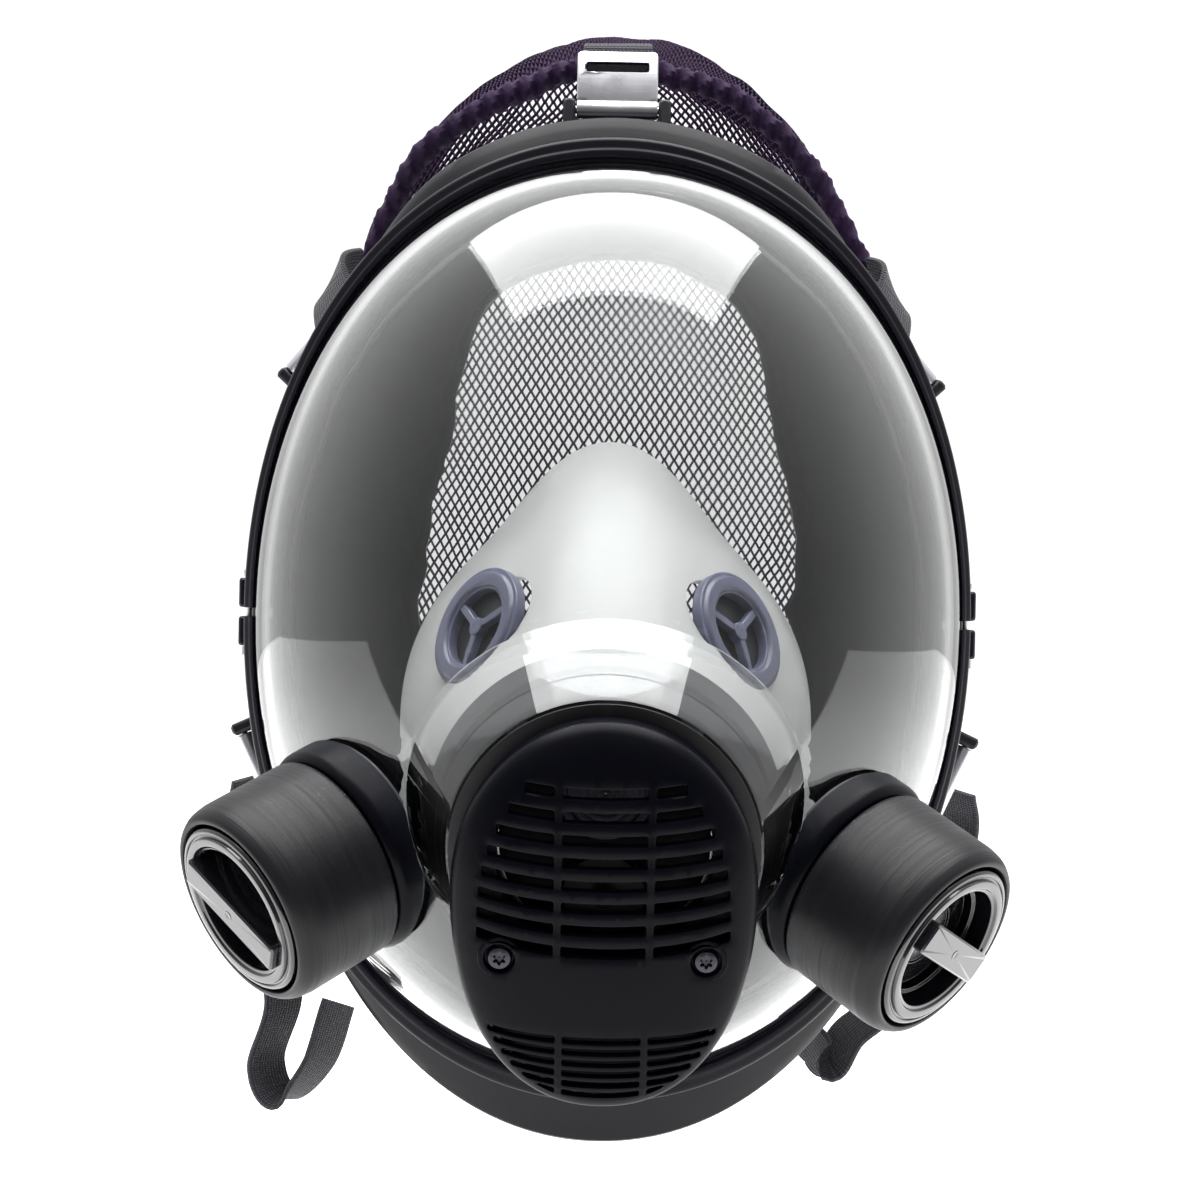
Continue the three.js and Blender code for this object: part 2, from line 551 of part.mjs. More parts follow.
// A flat band along a curve; across(t) is the direction of its width.
function band(points, width, across, steps = 10) {
  const path = new THREE.CatmullRomCurve3(points);
  const strip = new THREE.BoxGeometry(width, strapWall, 1, 1, 1, steps);
  return solid(warp(strip, (p) => {
    const t = p.z + 0.5;
    const along = path.getTangent(t);
    const w = across(t).clone();
    w.addScaledVector(along, -w.dot(along)).normalize();
    const normal = along.clone().cross(w);
    return path.getPoint(t).addScaledVector(w, p.x).addScaledVector(normal, p.y);
  }));
}
function harness() {
  piece('head_net', shell(netPoint, 24, 7, true), 'net');
  const edge = (turn) => netPoint(turn * RAD, 1, 0.5);
  const off = (name, x, y, z) => vec(x, y, z).applyMatrix4(anchors[name]);
  const widthOf = (name) => vec(1, 0, 0).transformDirection(anchors[name]);
  const run = (name, turn, middle) => {
    const start = off(name, 0, 0.4, buckle.height + 3.5);
    const end = edge(turn);
    const last = end.clone().lerp(middle[middle.length - 1], 6 / end.distanceTo(middle[middle.length - 1]));
    const away = widthOf(name);
    const tangent = edge(turn + 6).sub(edge(turn - 6)).normalize();
    if (tangent.dot(away) < 0) tangent.negate();
    return band([start, ...middle, last], 18, (t) => away.clone().lerp(tangent, t));
  };
  const mirrored = (side, x, y, z) => vec(side === 'left' ? -x : x, y, z);
  piece('top_strap', run('top', 0, [vec(0, 42, 151.5)]), 'webbing');
  for (const side of sides) {
    const sign = side === 'left' ? -1 : 1;
    piece(`temple_strap_${side}`, run(`temple_${side}`, 62 * sign, [mirrored(side, 80, 84, 93)]), 'webbing');
    piece(`cheek_strap_${side}`, run(`cheek_${side}`, 128 * sign, [
      mirrored(side, 96, 100, -44), mirrored(side, 84, 132, -38),
    ]), 'webbing');
  }
  const tails = {
    left: [[-99, 66, -58], [-94, 60, -84], [-86, 52, -104], [-90, 50, -122],
      [-85, 48, -131], [-76, 50, -122], [-71, 53, -106]],
    right: [[99, 66, -58], [93, 66, -84], [80, 64, -104], [69, 64, -114],
      [64, 64, -122], [60, 68, -118], [57, 72, -114]],
  };
  for (const side of sides) {
    const path = tails[side].map((p) => vec(...p));
    const across = vec(side === 'left' ? 0.55 : -0.55, 0.8, 0.1);
    piece(`strap_tail_${side}`, band(path, 14, () => across, 18), 'webbing');
  }
}
function buckles() {
  const { width, height, wall, hole, knuckle, slot } = buckle;
  const barrel = (x, y, z) => vec(x, y + 0.5 * ((z - height / 2) / (height / 2)) ** 2 * 1.6, z);
  const sheet = new THREE.BoxGeometry(width, wall, height, 1, 1, 8).translate(0, -wall, height / 2 + 1.2);
  const curved = solid(warp(sheet, (p) => barrel(p.x, p.y, p.z)));
  const [slotEnd, slotAt] = [width / 2 - 2.2, height - 3.6];
  const slotCut = block(-slotEnd, slotEnd, -8, 8, slotAt - slot / 2, slotAt + slot / 2);
  const body = cut(join(curved, rodX(knuckle, width)), slotCut, rodX(hole, width + 4));
  const pin = rodX(buckle.pin, width + 6.4);
  for (const [name, frame] of Object.entries(anchors)) {
    piece(`${name}_buckle`, body, 'steel', frame);
    piece(`${name}_buckle_pin`, pin, 'steel', frame);
  }
}

clampFrame();
faceBlank();
visor();
frontValves();
exhalationCover();
sides.forEach(sidePort);
noseCup();
harness();
buckles();

export default respirator;
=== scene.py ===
# Full face respirator: the visible surfaces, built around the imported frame.
# Shapes are worked out in millimetres, as on a drawing, and piece() makes them in metres.
# +Z is up and -Y is forward, out of the mask. Left and right are as seen from the front.
import json
from math import acos, atan2, cos, exp, hypot, pi, radians, sin, sqrt

import bmesh
import bpy
from mathutils import Matrix, Vector, noise
from mathutils.geometry import delaunay_2d_cdt


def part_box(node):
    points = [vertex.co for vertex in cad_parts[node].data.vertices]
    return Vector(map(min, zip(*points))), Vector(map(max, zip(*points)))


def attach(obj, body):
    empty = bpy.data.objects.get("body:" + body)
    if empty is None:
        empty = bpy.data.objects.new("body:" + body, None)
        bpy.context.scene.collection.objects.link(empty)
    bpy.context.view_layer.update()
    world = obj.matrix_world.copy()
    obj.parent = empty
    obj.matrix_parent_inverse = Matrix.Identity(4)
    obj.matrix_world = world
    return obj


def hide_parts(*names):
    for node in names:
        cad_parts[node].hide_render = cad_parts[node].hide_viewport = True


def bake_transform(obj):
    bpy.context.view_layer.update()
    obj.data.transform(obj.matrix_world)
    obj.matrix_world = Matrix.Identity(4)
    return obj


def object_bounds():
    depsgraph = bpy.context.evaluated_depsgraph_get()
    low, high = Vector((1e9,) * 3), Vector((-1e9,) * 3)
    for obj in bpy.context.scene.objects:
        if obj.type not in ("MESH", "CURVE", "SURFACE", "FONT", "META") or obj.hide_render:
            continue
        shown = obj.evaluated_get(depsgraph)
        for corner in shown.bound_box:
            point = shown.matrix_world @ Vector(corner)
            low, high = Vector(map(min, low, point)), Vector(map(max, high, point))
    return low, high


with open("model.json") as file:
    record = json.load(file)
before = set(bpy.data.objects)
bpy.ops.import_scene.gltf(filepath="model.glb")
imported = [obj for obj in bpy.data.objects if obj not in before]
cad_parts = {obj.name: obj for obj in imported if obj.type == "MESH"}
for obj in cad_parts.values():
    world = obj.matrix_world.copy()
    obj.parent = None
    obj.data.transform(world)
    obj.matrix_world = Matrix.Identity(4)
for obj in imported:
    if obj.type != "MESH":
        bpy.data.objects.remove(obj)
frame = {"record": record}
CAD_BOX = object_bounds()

# ---------------------------------------------------------------- driving dimensions, in millimetres
MM = 0.001
TAU = 2 * pi
RING_POWER = 2.07
RING_SWEEP = 30
RING_FACE, SIDE_SCALE = 9.5, 0.55
RING_FRONT, RING_BACK, RING_WALL, RING_SPLIT = -4, 12, 2.5, 1.2
LENS_BULGE, LENS_POWER, LENS_WALL, LENS_RIM = 82, 2.6, 2.4, 8
BOSS_RIM, BOSS_ROOT, BOSS_LENGTH, BOSS_WALL, BOSS_HOLE = 33.5, 39.8, 18, 2.4, 25.6
FLARE_TOP, FLARE_CHIN, FLARE_SIDE, SEAL_RISE, BLANK_WALL = 9.5, 15, 3.6, 1.65, 2.6
COVER = {"half": 32.2, "top": 37.4, "bottom": 49, "centre": -7, "power": 2.2,
         "depth": 11, "wall": 2, "back": 0.9, "skirt": 3.5}
SCREW_ACROSS, SCREW_DOWN = 21.5, -19.8
PORT_RADIUS, PORT_COLLAR, PORT_NECK, PORT_LENGTH = 24, 25, 12, 32
PORT_SOCKET, SOCKET_DEPTH, PORT_BORE, PORT_THROAT = 20.5, 12, 14.8, 10
PLUG_TURN = {"left": 39, "right": 22}
PLUG_FLANGE, PLUG_RECESS, PLUG_SKIRT, BAR_WIDTH = 20, 15, 19.6, 7.5
VALVE_RADIUS, VALVE_OPENING = 14.5, 9.3
CUP = {"wall": 2.2, "neck": 32.3, "from": -20.8, "to": -30, "reach": 10, "side": 50, "tip": 17, "bulge": 4}
NET_CENTRE, NET_HALF, NET_EDGE, NET_RISE = (0, 110, 40), (86, 105, 129), 83, 36
BUCKLE_WIDTH, BUCKLE_HEIGHT, BUCKLE_WALL, KNUCKLE = 21, 15, 1.6, 2.4
STRAP_WALL = 1.6
CLAMP_ACROSS = 96.1  # of the screws that close the clamp frame
SLEEVE_BORE, SLEEVE, SLEEVE_DEPTH = 22.9, 25.2, 20
LENS_STRAIGHT = 8  # how many steps of the dome one step along its rim is worth
GAP = 0.3
SIDES = ("left", "right")
FLOOR_FROM, FLOOR_GLOW = -300, 0.55
WORLD_FRONT, WORLD_BACK, WORLD_TOP, WORLD_SEEN = 0.16, 0.8, 0.6, 1.1


# ---------------------------------------------------------------- places, from the frame
def corners(node):
    low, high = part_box(node)
    return Vector(low) / MM, Vector(high) / MM


def centre_of(node):
    low, high = corners(node)
    return (low + high) / 2


JOINTS = {joint["name"]: joint for joint in frame["record"]["behaviour"]["joints"]}
VISOR_HIGH = corners("visor")[1]
HALF_WIDTH = VISOR_HIGH.x + SIDE_SCALE * RING_FACE
HALF_HEIGHT = VISOR_HIGH.z + RING_FACE


def basis(x, y, z, origin):
    turn = Matrix((x, y, z)).transposed().to_4x4()
    return Matrix.Translation(origin) @ turn


def frame_at(origin, y, up=(0, 0, 1)):
    """A frame whose +Y is the given direction, with +Z as near to up as it goes."""
    y = Vector(y).normalized()
    up = Vector(up)
    z = (up - y * up.dot(y)).normalized()
    return basis(y.cross(z), y, z, origin)


BOSS_OUT = Vector(JOINTS["exhalation_flap_lift"]["axis"])
BOSS_UP = (Vector((0, 0, 1)) - BOSS_OUT * BOSS_OUT.z).normalized()
BOSS = frame_at(centre_of("exhalation_disc") + 3.75 * BOSS_OUT + 11 * BOSS_UP, BOSS_OUT)
PORTS = {}
for _side in SIDES:
    _turn = JOINTS[f"plug_turn_{_side}"]
    PORTS[_side] = frame_at(Vector(_turn["pos_m"]) / MM, _turn["axis"])
CUP_VALVES = {}
for _side in SIDES:
    _out = -Vector(JOINTS[f"cup_flap_lift_{_side}"]["axis"])
    CUP_VALVES[_side] = frame_at(centre_of(f"cup_valve_disc_{_side}") + 2.2 * _out, _out)
ANCHORS = {}
for _name in ("top", "temple_left", "temple_right", "cheek_left", "cheek_right"):
    _hinge = JOINTS[f"{_name}_buckle_hinge"]
    _place = Vector(_hinge["pos_m"]) / MM
    _x = Vector(_hinge["axis"])
    if _name == "top":
        _inward = Vector((0, 0.98, -0.2)).normalized()
    else:
        _inward = -Vector((_place.x, 0, _place.z)).normalized()
    ANCHORS[_name] = basis(_x, _inward, _x.cross(_inward), _place)


# ---------------------------------------------------------------- mesh helpers
def smooth(a, b, x):
    t = min(1, max(0, (x - a) / (b - a)))
    return t * t * (3 - 2 * t)


def lerp(a, b, t):
    return a + (b - a) * t


class Form:
    """Points and faces, in millimetres, that grow into one mesh."""

    def __init__(self):
        self.points = []
        self.faces = []
        self.uvs = {}

    def grid(self, rows, wrap_rows=False, wrap_cols=True, place=None):
        """Quads over rows of points of one length."""
        start, wide = len(self.points), len(rows[0])
        for row in rows:
            self.points += [place @ Vector(p) if place else Vector(p) for p in row]
        for i in range(len(rows) if wrap_rows else len(rows) - 1):
            for j in range(wide if wrap_cols else wide - 1):
                a, b = start + i * wide, start + (i + 1) % len(rows) * wide
                c, d = j, (j + 1) % wide
                self.faces.append([a + c, b + c, b + d, a + d])
        return start

    def revolve(self, profile, around=96, place=None, wobble=None):
        """A turned piece about local Y; a profile off the axis closes on itself."""
        rows = []
        for r, y in profile:
            row = []
            for k in range(around):
                turn = TAU * k / around
                grown = r + (wobble(turn, y) if wobble else 0)
                row.append((grown * sin(turn), y, grown * cos(turn)))
            rows.append(row)
        self.grid(rows, wrap_rows=profile[0][0] > 0, place=place)
        return self

    def box(self, lows, highs, place=None, round_off=0.5):
        """A block with rounded edges, from two corners."""
        (x0, y0, z0), (x1, y1, z1) = lows, highs
        outline = rounded([(x0, z0), (x1, z0), (x1, z1), (x0, z1)], round_off)
        mid_x, mid_z = (x0 + x1) / 2, (z0 + z1) / 2
        fx = 1 - 2 * round_off * 0.6 / (x1 - x0)
        fz = 1 - 2 * round_off * 0.6 / (z1 - z0)
        inner = [(mid_x + (x - mid_x) * fx, mid_z + (z - mid_z) * fz) for x, z in outline]
        levels = [(inner, y0), (outline, y0 + round_off * 0.6), (outline, y1 - round_off * 0.6), (inner, y1)]
        rows = [[(mid_x, y0, mid_z)] * len(outline)]
        rows += [[(x, y, z) for x, z in loop] for loop, y in levels]
        rows += [[(mid_x, y1, mid_z)] * len(outline)]
        self.grid(rows, place=place)
        return self


def rounded(profile, radius, steps=3, closed=True):
    """The profile with each corner replaced by an arc that starts up to radius away."""
    result = []
    count = len(profile)
    for i, corner in enumerate(profile):
        if not closed and i in (0, count - 1):
            result.append(corner)
            continue
        p, c, n = Vector(profile[i - 1]), Vector(corner), Vector(profile[(i + 1) % count])
        back, on = min(radius, (c - p).length * 0.45), min(radius, (n - c).length * 0.45)
        a, b = c.lerp(p, back / (c - p).length), c.lerp(n, on / (n - c).length)
        for k in range(steps + 1):
            t = k / steps
            result.append(tuple(a * (1 - t) ** 2 + c * 2 * t * (1 - t) + b * t ** 2))
    return result


def make(name, form, place=None, sharp=38):
    """The form as a Blender object; with a place, its mesh stays in local coordinates."""
    mesh = bpy.data.meshes.new(name)
    mesh.from_pydata([p * MM for p in form.points], [], form.faces)
    if form.uvs:
        layer = mesh.uv_layers.new(name="weave")
        for loop in mesh.loops:
            layer.data[loop.index].uv = form.uvs[loop.vertex_index]
    work = bmesh.new()
    work.from_mesh(mesh)
    bmesh.ops.remove_doubles(work, verts=work.verts, dist=2e-6)
    bmesh.ops.dissolve_degenerate(work, edges=work.edges, dist=1e-7)
    bmesh.ops.recalc_face_normals(work, faces=work.faces)
    work.to_mesh(mesh)
    work.free()
    obj = bpy.data.objects.new(name, mesh)
    bpy.context.collection.objects.link(obj)
    if place:
        metres = place.copy()
        metres.translation = place.translation * MM
        obj.matrix_world = metres
    bpy.context.view_layer.update()
    soften(obj, sharp)
    return obj


def soften(obj, sharp=38):
    obj.data.polygons.foreach_set("use_smooth", [True] * len(obj.data.polygons))
    obj.data.set_sharp_from_angle(angle=radians(sharp))
    obj.data.update()


def boolean(obj, tool, operation):
    """Joins, cuts or intersects obj with tool, which is then removed."""
    step = obj.modifiers.new("boolean", "BOOLEAN")
    step.operation = operation
    step.solver = "EXACT"
    step.object = tool
    graph = bpy.context.evaluated_depsgraph_get()
    result = bpy.data.meshes.new_from_object(obj.evaluated_get(graph))
    obj.modifiers.clear()
    obj.data = result
    bpy.data.objects.remove(tool)
    soften(obj)
    return obj


def piece(obj, body, slot, *stands_for, look=None):
    """Gives the piece its look, its slot's unless another is named, and the body that it rides on."""
    obj.data.materials.clear()
    obj.data.materials.append(LOOKS[look or slot])
    if body:
        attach(obj, body)
    if stands_for:
        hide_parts(*stands_for)
    return obj


# ---------------------------------------------------------------- materials
def material(name, color, roughness, metallic=0.0, specular=0.5, coat=0.0, sheen=0.0, subsurface=0.0):
    look = bpy.data.materials.new(name)
    look.use_nodes = True
    shader = look.node_tree.nodes["Principled BSDF"]
    shader.inputs["Base Color"].default_value = (*color, 1)
    shader.inputs["Roughness"].default_value = roughness
    shader.inputs["Metallic"].default_value = metallic
    shader.inputs["Specular IOR Level"].default_value = specular
    shader.inputs["Coat Weight"].default_value = coat
    shader.inputs["Coat Roughness"].default_value = 0.08
    shader.inputs["Sheen Weight"].default_value = sheen
    shader.inputs["Subsurface Weight"].default_value = subsurface
    return look


def node(look, kind, **values):
    made = look.node_tree.nodes.new(kind)
    for key, value in values.items():
        if hasattr(made, key):
            setattr(made, key, value)
        else:
            made.inputs[key.replace("_", " ")].default_value = value
    return made


def link(look, source, target):
    look.node_tree.links.new(source, target)


def shader_of(look):
    return look.node_tree.nodes["Principled BSDF"]


def texture(look, kind, scale, stretch=(1, 1, 1), coordinate="Object", **values):
    """A procedural texture on object coordinates; scale counts features in a metre."""
    place = node(look, "ShaderNodeTexCoord")
    mapping = node(look, "ShaderNodeMapping")
    mapping.inputs["Scale"].default_value = stretch
    link(look, place.outputs[coordinate], mapping.inputs["Vector"])
    made = node(look, kind, Scale=scale, **values)
    link(look, mapping.outputs["Vector"], made.inputs["Vector"])
    return made


def fac(made):
    return made.outputs["Fac"] if "Fac" in made.outputs else made.outputs[0]


def spread(look, source, low, high, target):
    """Drives an input between two values by a 0 to 1 source."""
    span = node(look, "ShaderNodeMapRange")
    span.inputs["From Min"].default_value = 0.3
    span.inputs["From Max"].default_value = 0.7
    span.inputs["To Min"].default_value = low
    span.inputs["To Max"].default_value = high
    link(look, source, span.inputs["Value"])
    link(look, span.outputs["Result"], target)


def tint(look, source, low, high, target=None):
    """Colour between two shades by a source."""
    blend = node(look, "ShaderNodeMix", data_type="RGBA")
    blend.inputs[6].default_value = (*low, 1)
    blend.inputs[7].default_value = (*high, 1)
    link(look, source, blend.inputs[0])
    link(look, blend.outputs[2], target or shader_of(look).inputs["Base Color"])
    return blend


def bump(look, source, strength, distance, before=None):
    made = node(look, "ShaderNodeBump", Strength=strength, Distance=distance)
    link(look, source, made.inputs["Height"])
    if before:
        link(look, before.outputs["Normal"], made.inputs["Normal"])
    link(look, made.outputs["Normal"], shader_of(look).inputs["Normal"])
    return made


def worn_edges(look, low, high, start=0.53, stop=0.62):
    """Edges rubbed a little lighter than the faces."""
    shape = node(look, "ShaderNodeNewGeometry")
    ramp = node(look, "ShaderNodeMapRange")
    ramp.inputs["From Min"].default_value = start
    ramp.inputs["From Max"].default_value = stop
    link(look, shape.outputs["Pointiness"], ramp.inputs["Value"])
    return tint(look, ramp.outputs["Result"], low, high)


def moulded(name, color, roughness, specular, grain=1400, depth=0.00006, edge=2.2, coat=0.0):
    """Moulded plastic or rubber: fine spark-eroded grain, broad mottling and rubbed edges."""
    look = material(name, color, roughness, specular=specular, coat=coat)
    fine = texture(look, "ShaderNodeTexNoise", grain, Detail=3.0)
    broad = texture(look, "ShaderNodeTexNoise", 38, Detail=4.0)
    bump(look, fac(fine), 0.35, depth)
    spread(look, fac(broad), roughness - 0.06, roughness + 0.08, shader_of(look).inputs["Roughness"])
    worn_edges(look, color, tuple(c * edge + 0.004 for c in color))
    return look


def turned(name, color):
    """Turned plastic: fine tool lines round the axis, uneven in depth."""
    look = material(name, color, 0.4, specular=0.22)
    lines = texture(look, "ShaderNodeTexNoise", 1, stretch=(25, 2600, 25), Detail=3.0)
    passes = texture(look, "ShaderNodeTexNoise", 1, stretch=(6, 330, 6), Detail=2.0)
    first = bump(look, fac(lines), 0.55, 0.00012)
    bump(look, fac(passes), 0.35, 0.0003, first)
    spread(look, fac(lines), 0.32, 0.5, shader_of(look).inputs["Roughness"])
    tint(look, fac(passes), color, tuple(c * 2.0 + 0.006 for c in color))
    return look


def clear(name):
    """Polycarbonate that lets lamps through, with a trace of polishing haze."""
    look = material(name, (0.965, 0.985, 0.985), 0.015)
    shader = shader_of(look)
    shader.inputs["Transmission Weight"].default_value = 1
    shader.inputs["IOR"].default_value = 1.5
    haze = texture(look, "ShaderNodeTexNoise", 22, Detail=3.0)
    spread(look, fac(haze), 0.0, 0.035, shader.inputs["Roughness"])
    path = node(look, "ShaderNodeLightPath")
    lamp = node(look, "ShaderNodeBsdfTransparent")
    mix = node(look, "ShaderNodeMixShader")
    link(look, path.outputs["Is Shadow Ray"], mix.inputs[0])
    link(look, shader.outputs[0], mix.inputs[1])
    link(look, lamp.outputs[0], mix.inputs[2])
    link(look, mix.outputs[0], look.node_tree.nodes["Material Output"].inputs["Surface"])
    return look


def silicone(name):
    look = material(name, (0.23, 0.23, 0.225), 0.42, specular=0.3, subsurface=0.2)
    shader_of(look).inputs["Subsurface Radius"].default_value = (0.006, 0.006, 0.006)
    broad = texture(look, "ShaderNodeTexNoise", 26, Detail=3.0)
    tint(look, fac(broad), (0.23, 0.23, 0.226), (0.31, 0.31, 0.305))
    fine = texture(look, "ShaderNodeTexNoise", 900, Detail=2.0)
    bump(look, fac(fine), 0.2, 0.00005)
    spread(look, fac(broad), 0.3, 0.46, shader_of(look).inputs["Roughness"])
    return look


def knitted(name, dark, light):
    look = material(name, dark, 0.8, specular=0.15, sheen=0.12)
    shader_of(look).inputs["Sheen Tint"].default_value = (0.55, 0.35, 0.62, 1)
    strands = texture(look, "ShaderNodeTexNoise", 900, Detail=4.0)
    broad = texture(look, "ShaderNodeTexNoise", 30, Detail=2.0)
    tint(look, fac(broad), dark, light)
    bump(look, fac(strands), 0.7, 0.0004)
    return look


def webbing(name, dark, light):
    """Woven elastic tape: ribs along it, crossed by finer weft, on the tape's own coordinates."""
    look = material(name, dark, 0.7, specular=0.3, sheen=0.2)
    ribs = texture(look, "ShaderNodeTexWave", 1, stretch=(300, 0, 0), coordinate="UV")
    weft = texture(look, "ShaderNodeTexWave", 1, stretch=(0, 520, 0), coordinate="UV", bands_direction="Y")
    both = node(look, "ShaderNodeMath", operation="MULTIPLY")
    link(look, fac(ribs), both.inputs[0])
    link(look, fac(weft), both.inputs[1])
    tint(look, both.outputs[0], dark, light)
    bump(look, both.outputs[0], 0.8, 0.0004)
    return look


def brushed(name, color, roughness):
    look = material(name, color, roughness, metallic=1.0)
    lines = texture(look, "ShaderNodeTexNoise", 1, stretch=(60, 2200, 2200), Detail=3.0)
    broad = texture(look, "ShaderNodeTexNoise", 90, Detail=3.0)
    bump(look, fac(lines), 0.25, 0.00008)
    spread(look, fac(broad), roughness - 0.08, roughness + 0.12, shader_of(look).inputs["Roughness"])
    return look


LOOKS = {
    "rubber": moulded("face rubber", (0.0035, 0.0034, 0.0056), 0.38, 0.26, grain=800, depth=0.00008),
    "frame_plastic": moulded("frame plastic", (0.0040, 0.0032, 0.0066), 0.36, 0.18),
    "cover_plastic": moulded("cover plastic", (0.0015, 0.0017, 0.0036), 0.33, 0.07, edge=2.5),
    "turned_plastic": turned("turned plastic", (0.0020, 0.0020, 0.0030)),
    "gloss_plastic": moulded("gloss plastic", (0.0040, 0.0040, 0.0060), 0.13, 0.5,
                             grain=300, depth=0.00003, coat=0.5),
    "clear": clear("clear polycarbonate"),
    "silicone": silicone("grey silicone"),
    "valve_plastic": moulded("valve plastic", (0.050, 0.052, 0.085), 0.34, 0.5, edge=1.6),
    "flap": moulded("flap rubber", (0.006, 0.006, 0.008), 0.5, 0.4, grain=600),
    "steel": brushed("satin steel", (0.62, 0.62, 0.66), 0.28),
    # The same satin steel made dark: painted shade for the screws sunk in the cover's wells and for the film
    # behind the cover.
    "steel_painted_shade": brushed("steel with painted shade", (0.045, 0.045, 0.055), 0.34),
    "net": knitted("net cord", (0.0050, 0.0022, 0.0095), (0.022, 0.008, 0.038)),
    "webbing": webbing("elastic webbing", (0.014, 0.013, 0.019), (0.040, 0.037, 0.052)),
}


# ---------------------------------------------------------------- the oval that frame, lens and blank share
def oval(angle, offset):
    s, c = sin(angle), cos(angle)
    rho = (abs(s) ** RING_POWER + abs(c) ** RING_POWER) ** (-1 / RING_POWER)
    lip = max(offset, -RING_FACE)
    width = HALF_WIDTH + SIDE_SCALE * lip + SEAL_RISE * (offset - lip)
    return width * rho * s, (HALF_HEIGHT + offset) * rho * c


def swept(x, y, z):
    return Vector((x, y + RING_SWEEP * (x / HALF_WIDTH) ** 2, z))


def flare_at(angle, y):
    """How far the blank stands out past the clamp frame."""
    turn = abs(atan2(sin(angle), cos(angle))) * 180 / pi
    top = FLARE_TOP * (1 - smooth(25, 55, turn))
    chin = FLARE_CHIN * cos(angle) ** 2 if turn > 90 else 0
    tuck = FLARE_SIDE * sin(angle) ** 4
    return (top + chin - tuck) * smooth(12, 18, y) * (1 - 0.35 * smooth(34, 60, y))


def lens_point(angle, v, grow):
    """A point of the lens, v from 0 at its middle to 1 at its edge, and past 1 on its straight rim."""
    ex, ez = oval(angle, -RING_FACE)
    s = sin(min(v, 1) * pi / 2)
    c = max(0, 1 - s ** LENS_POWER) ** (1 / LENS_POWER)
    w, h = HALF_WIDTH - SIDE_SCALE * RING_FACE, HALF_HEIGHT - RING_FACE
    rim = max(0, v - 1) * LENS_STRAIGHT * LENS_RIM
    return swept(ex * s * (w + grow) / w, -(LENS_BULGE + grow) * c + rim, ez * s * (h + grow) / h)


def behind_lens(grow, around=120, along=30):
    """Everything behind a surface that stands off the lens's outside by grow."""
    form = Form()
    rows = []
    for i in range(along + 1):
        rows.append([lens_point(TAU * k / around, i / along, grow) for k in range(around)])
    edge = [Vector((p.x, 90, p.z)) for p in rows[-1]]
    rows.append(edge)
    rows.append([Vector((0, 90, 0))] * around)
    form.grid(rows)
    return make("behind_lens", form)


def cone_tool(grow, start, end, around=120, name="cone"):
    slope = (BOSS_ROOT - BOSS_RIM) / BOSS_LENGTH

    def radius(y):
        return BOSS_RIM - slope * y + grow
    form = Form().revolve([(0, start), (radius(start), start), (radius(end), end), (0, end)], around, BOSS)
    return make(name, form)


def drum_tool(radius, start, end, place, around=96):
    return make("drum", Form().revolve([(0, start), (radius, start), (radius, end), (0, end)], around, place))


# ---------------------------------------------------------------- clamp frame
def hexagon(turn, y):
    """How far a hexagon across 4 mm corners lies inside its circle."""
    return 2 * (cos(pi / 6) / cos(turn % (pi / 3) - pi / 6) - 1)


def clamp_frame():
    front, back, wall, face = RING_FRONT, RING_BACK, RING_WALL, RING_FACE
    section = rounded([
        (-face + 0.4, front + 1.2), (-face + 2.8, front + 0.2), (-face + 3.1, front + 1.1),
        (-face + 4.2, front + 1.1), (-face + 4.5, front - 0.6), (-face + 6.3, front - 0.6),
        (-face + 6.6, front),
        (-0.7, front), (0, front + 0.8), (0, back - 0.8), (-0.7, back), (-6, back),
        (-6, back - wall + 0.3), (-wall, back - wall + 0.3), (-wall, front + wall),
        (-face + 0.4, front + wall),
    ], 0.5)
    end = acos(RING_SPLIT / HALF_HEIGHT)
    steps = 110
    for name, middle in (("upper", 0), ("lower", pi)):
        form = Form()
        rows = []
        for i in range(steps + 1):
            angle = middle + end * (2 * i / steps - 1)
            rows.append([swept(x, y, z) for (x, z), y in ((oval(angle, o), y) for o, y in section)])
        start = form.grid(rows)
        last = start + steps * len(section)
        form.faces.append([start + k for k in range(len(section))])
        form.faces.append([last + k for k in range(len(section))])
        sign = 1 if name == "upper" else -1
        for side in (-1, 1):
            low, high = sorted((sign * RING_SPLIT, sign * 9))
            at = side * CLAMP_ACROSS
            form.box((at - 1.9, 38, low), (at + 1.9, 50, high), round_off=0.9)
        piece(make(f"clamp_{name}", form), "root", "frame_plastic", f"{name}_frame")
    for side in SIDES:
        x = (-1 if side == "left" else 1) * CLAMP_ACROSS
        place = Matrix.Translation((x, 45.5, 0)) @ Matrix.Rotation(radians(90), 4, "X")
        head = [(0.01, -12.6), (1, -12.6), (1, 9.3), (1.8, 9.3), (1.8, 11.2), (0.9, 11.2),
                (0.8, 10.2), (0.01, 10.2)]
        bolt = make(f"clamp_screw_{side}", Form().revolve(rounded(head, 0.2), 32, place))
        piece(bolt, "root", "steel", f"frame_screw_{side}")
        nut = Form().revolve([(1.3, -11.6), (2, -11.6), (2, -9.3), (1.3, -9.3)], 36, place, hexagon)
        piece(make(f"clamp_nut_{side}", nut), "root", "steel", f"frame_nut_{side}")


# ---------------------------------------------------------------- face blank
def wrinkle(angle, offset, y):
    """Soft waves in the thin sealing lip, strongest down the sides and none near the frame."""
    depth = smooth(-6, -24, offset) * (0.35 + 0.65 * sin(angle) ** 2)
    place = Vector((cos(angle) * 2.2, sin(angle) * 2.2, y * 0.018))
    return 2.6 * depth * noise.noise(place * 2.1) + 1.1 * depth * noise.noise(place * 6.3)


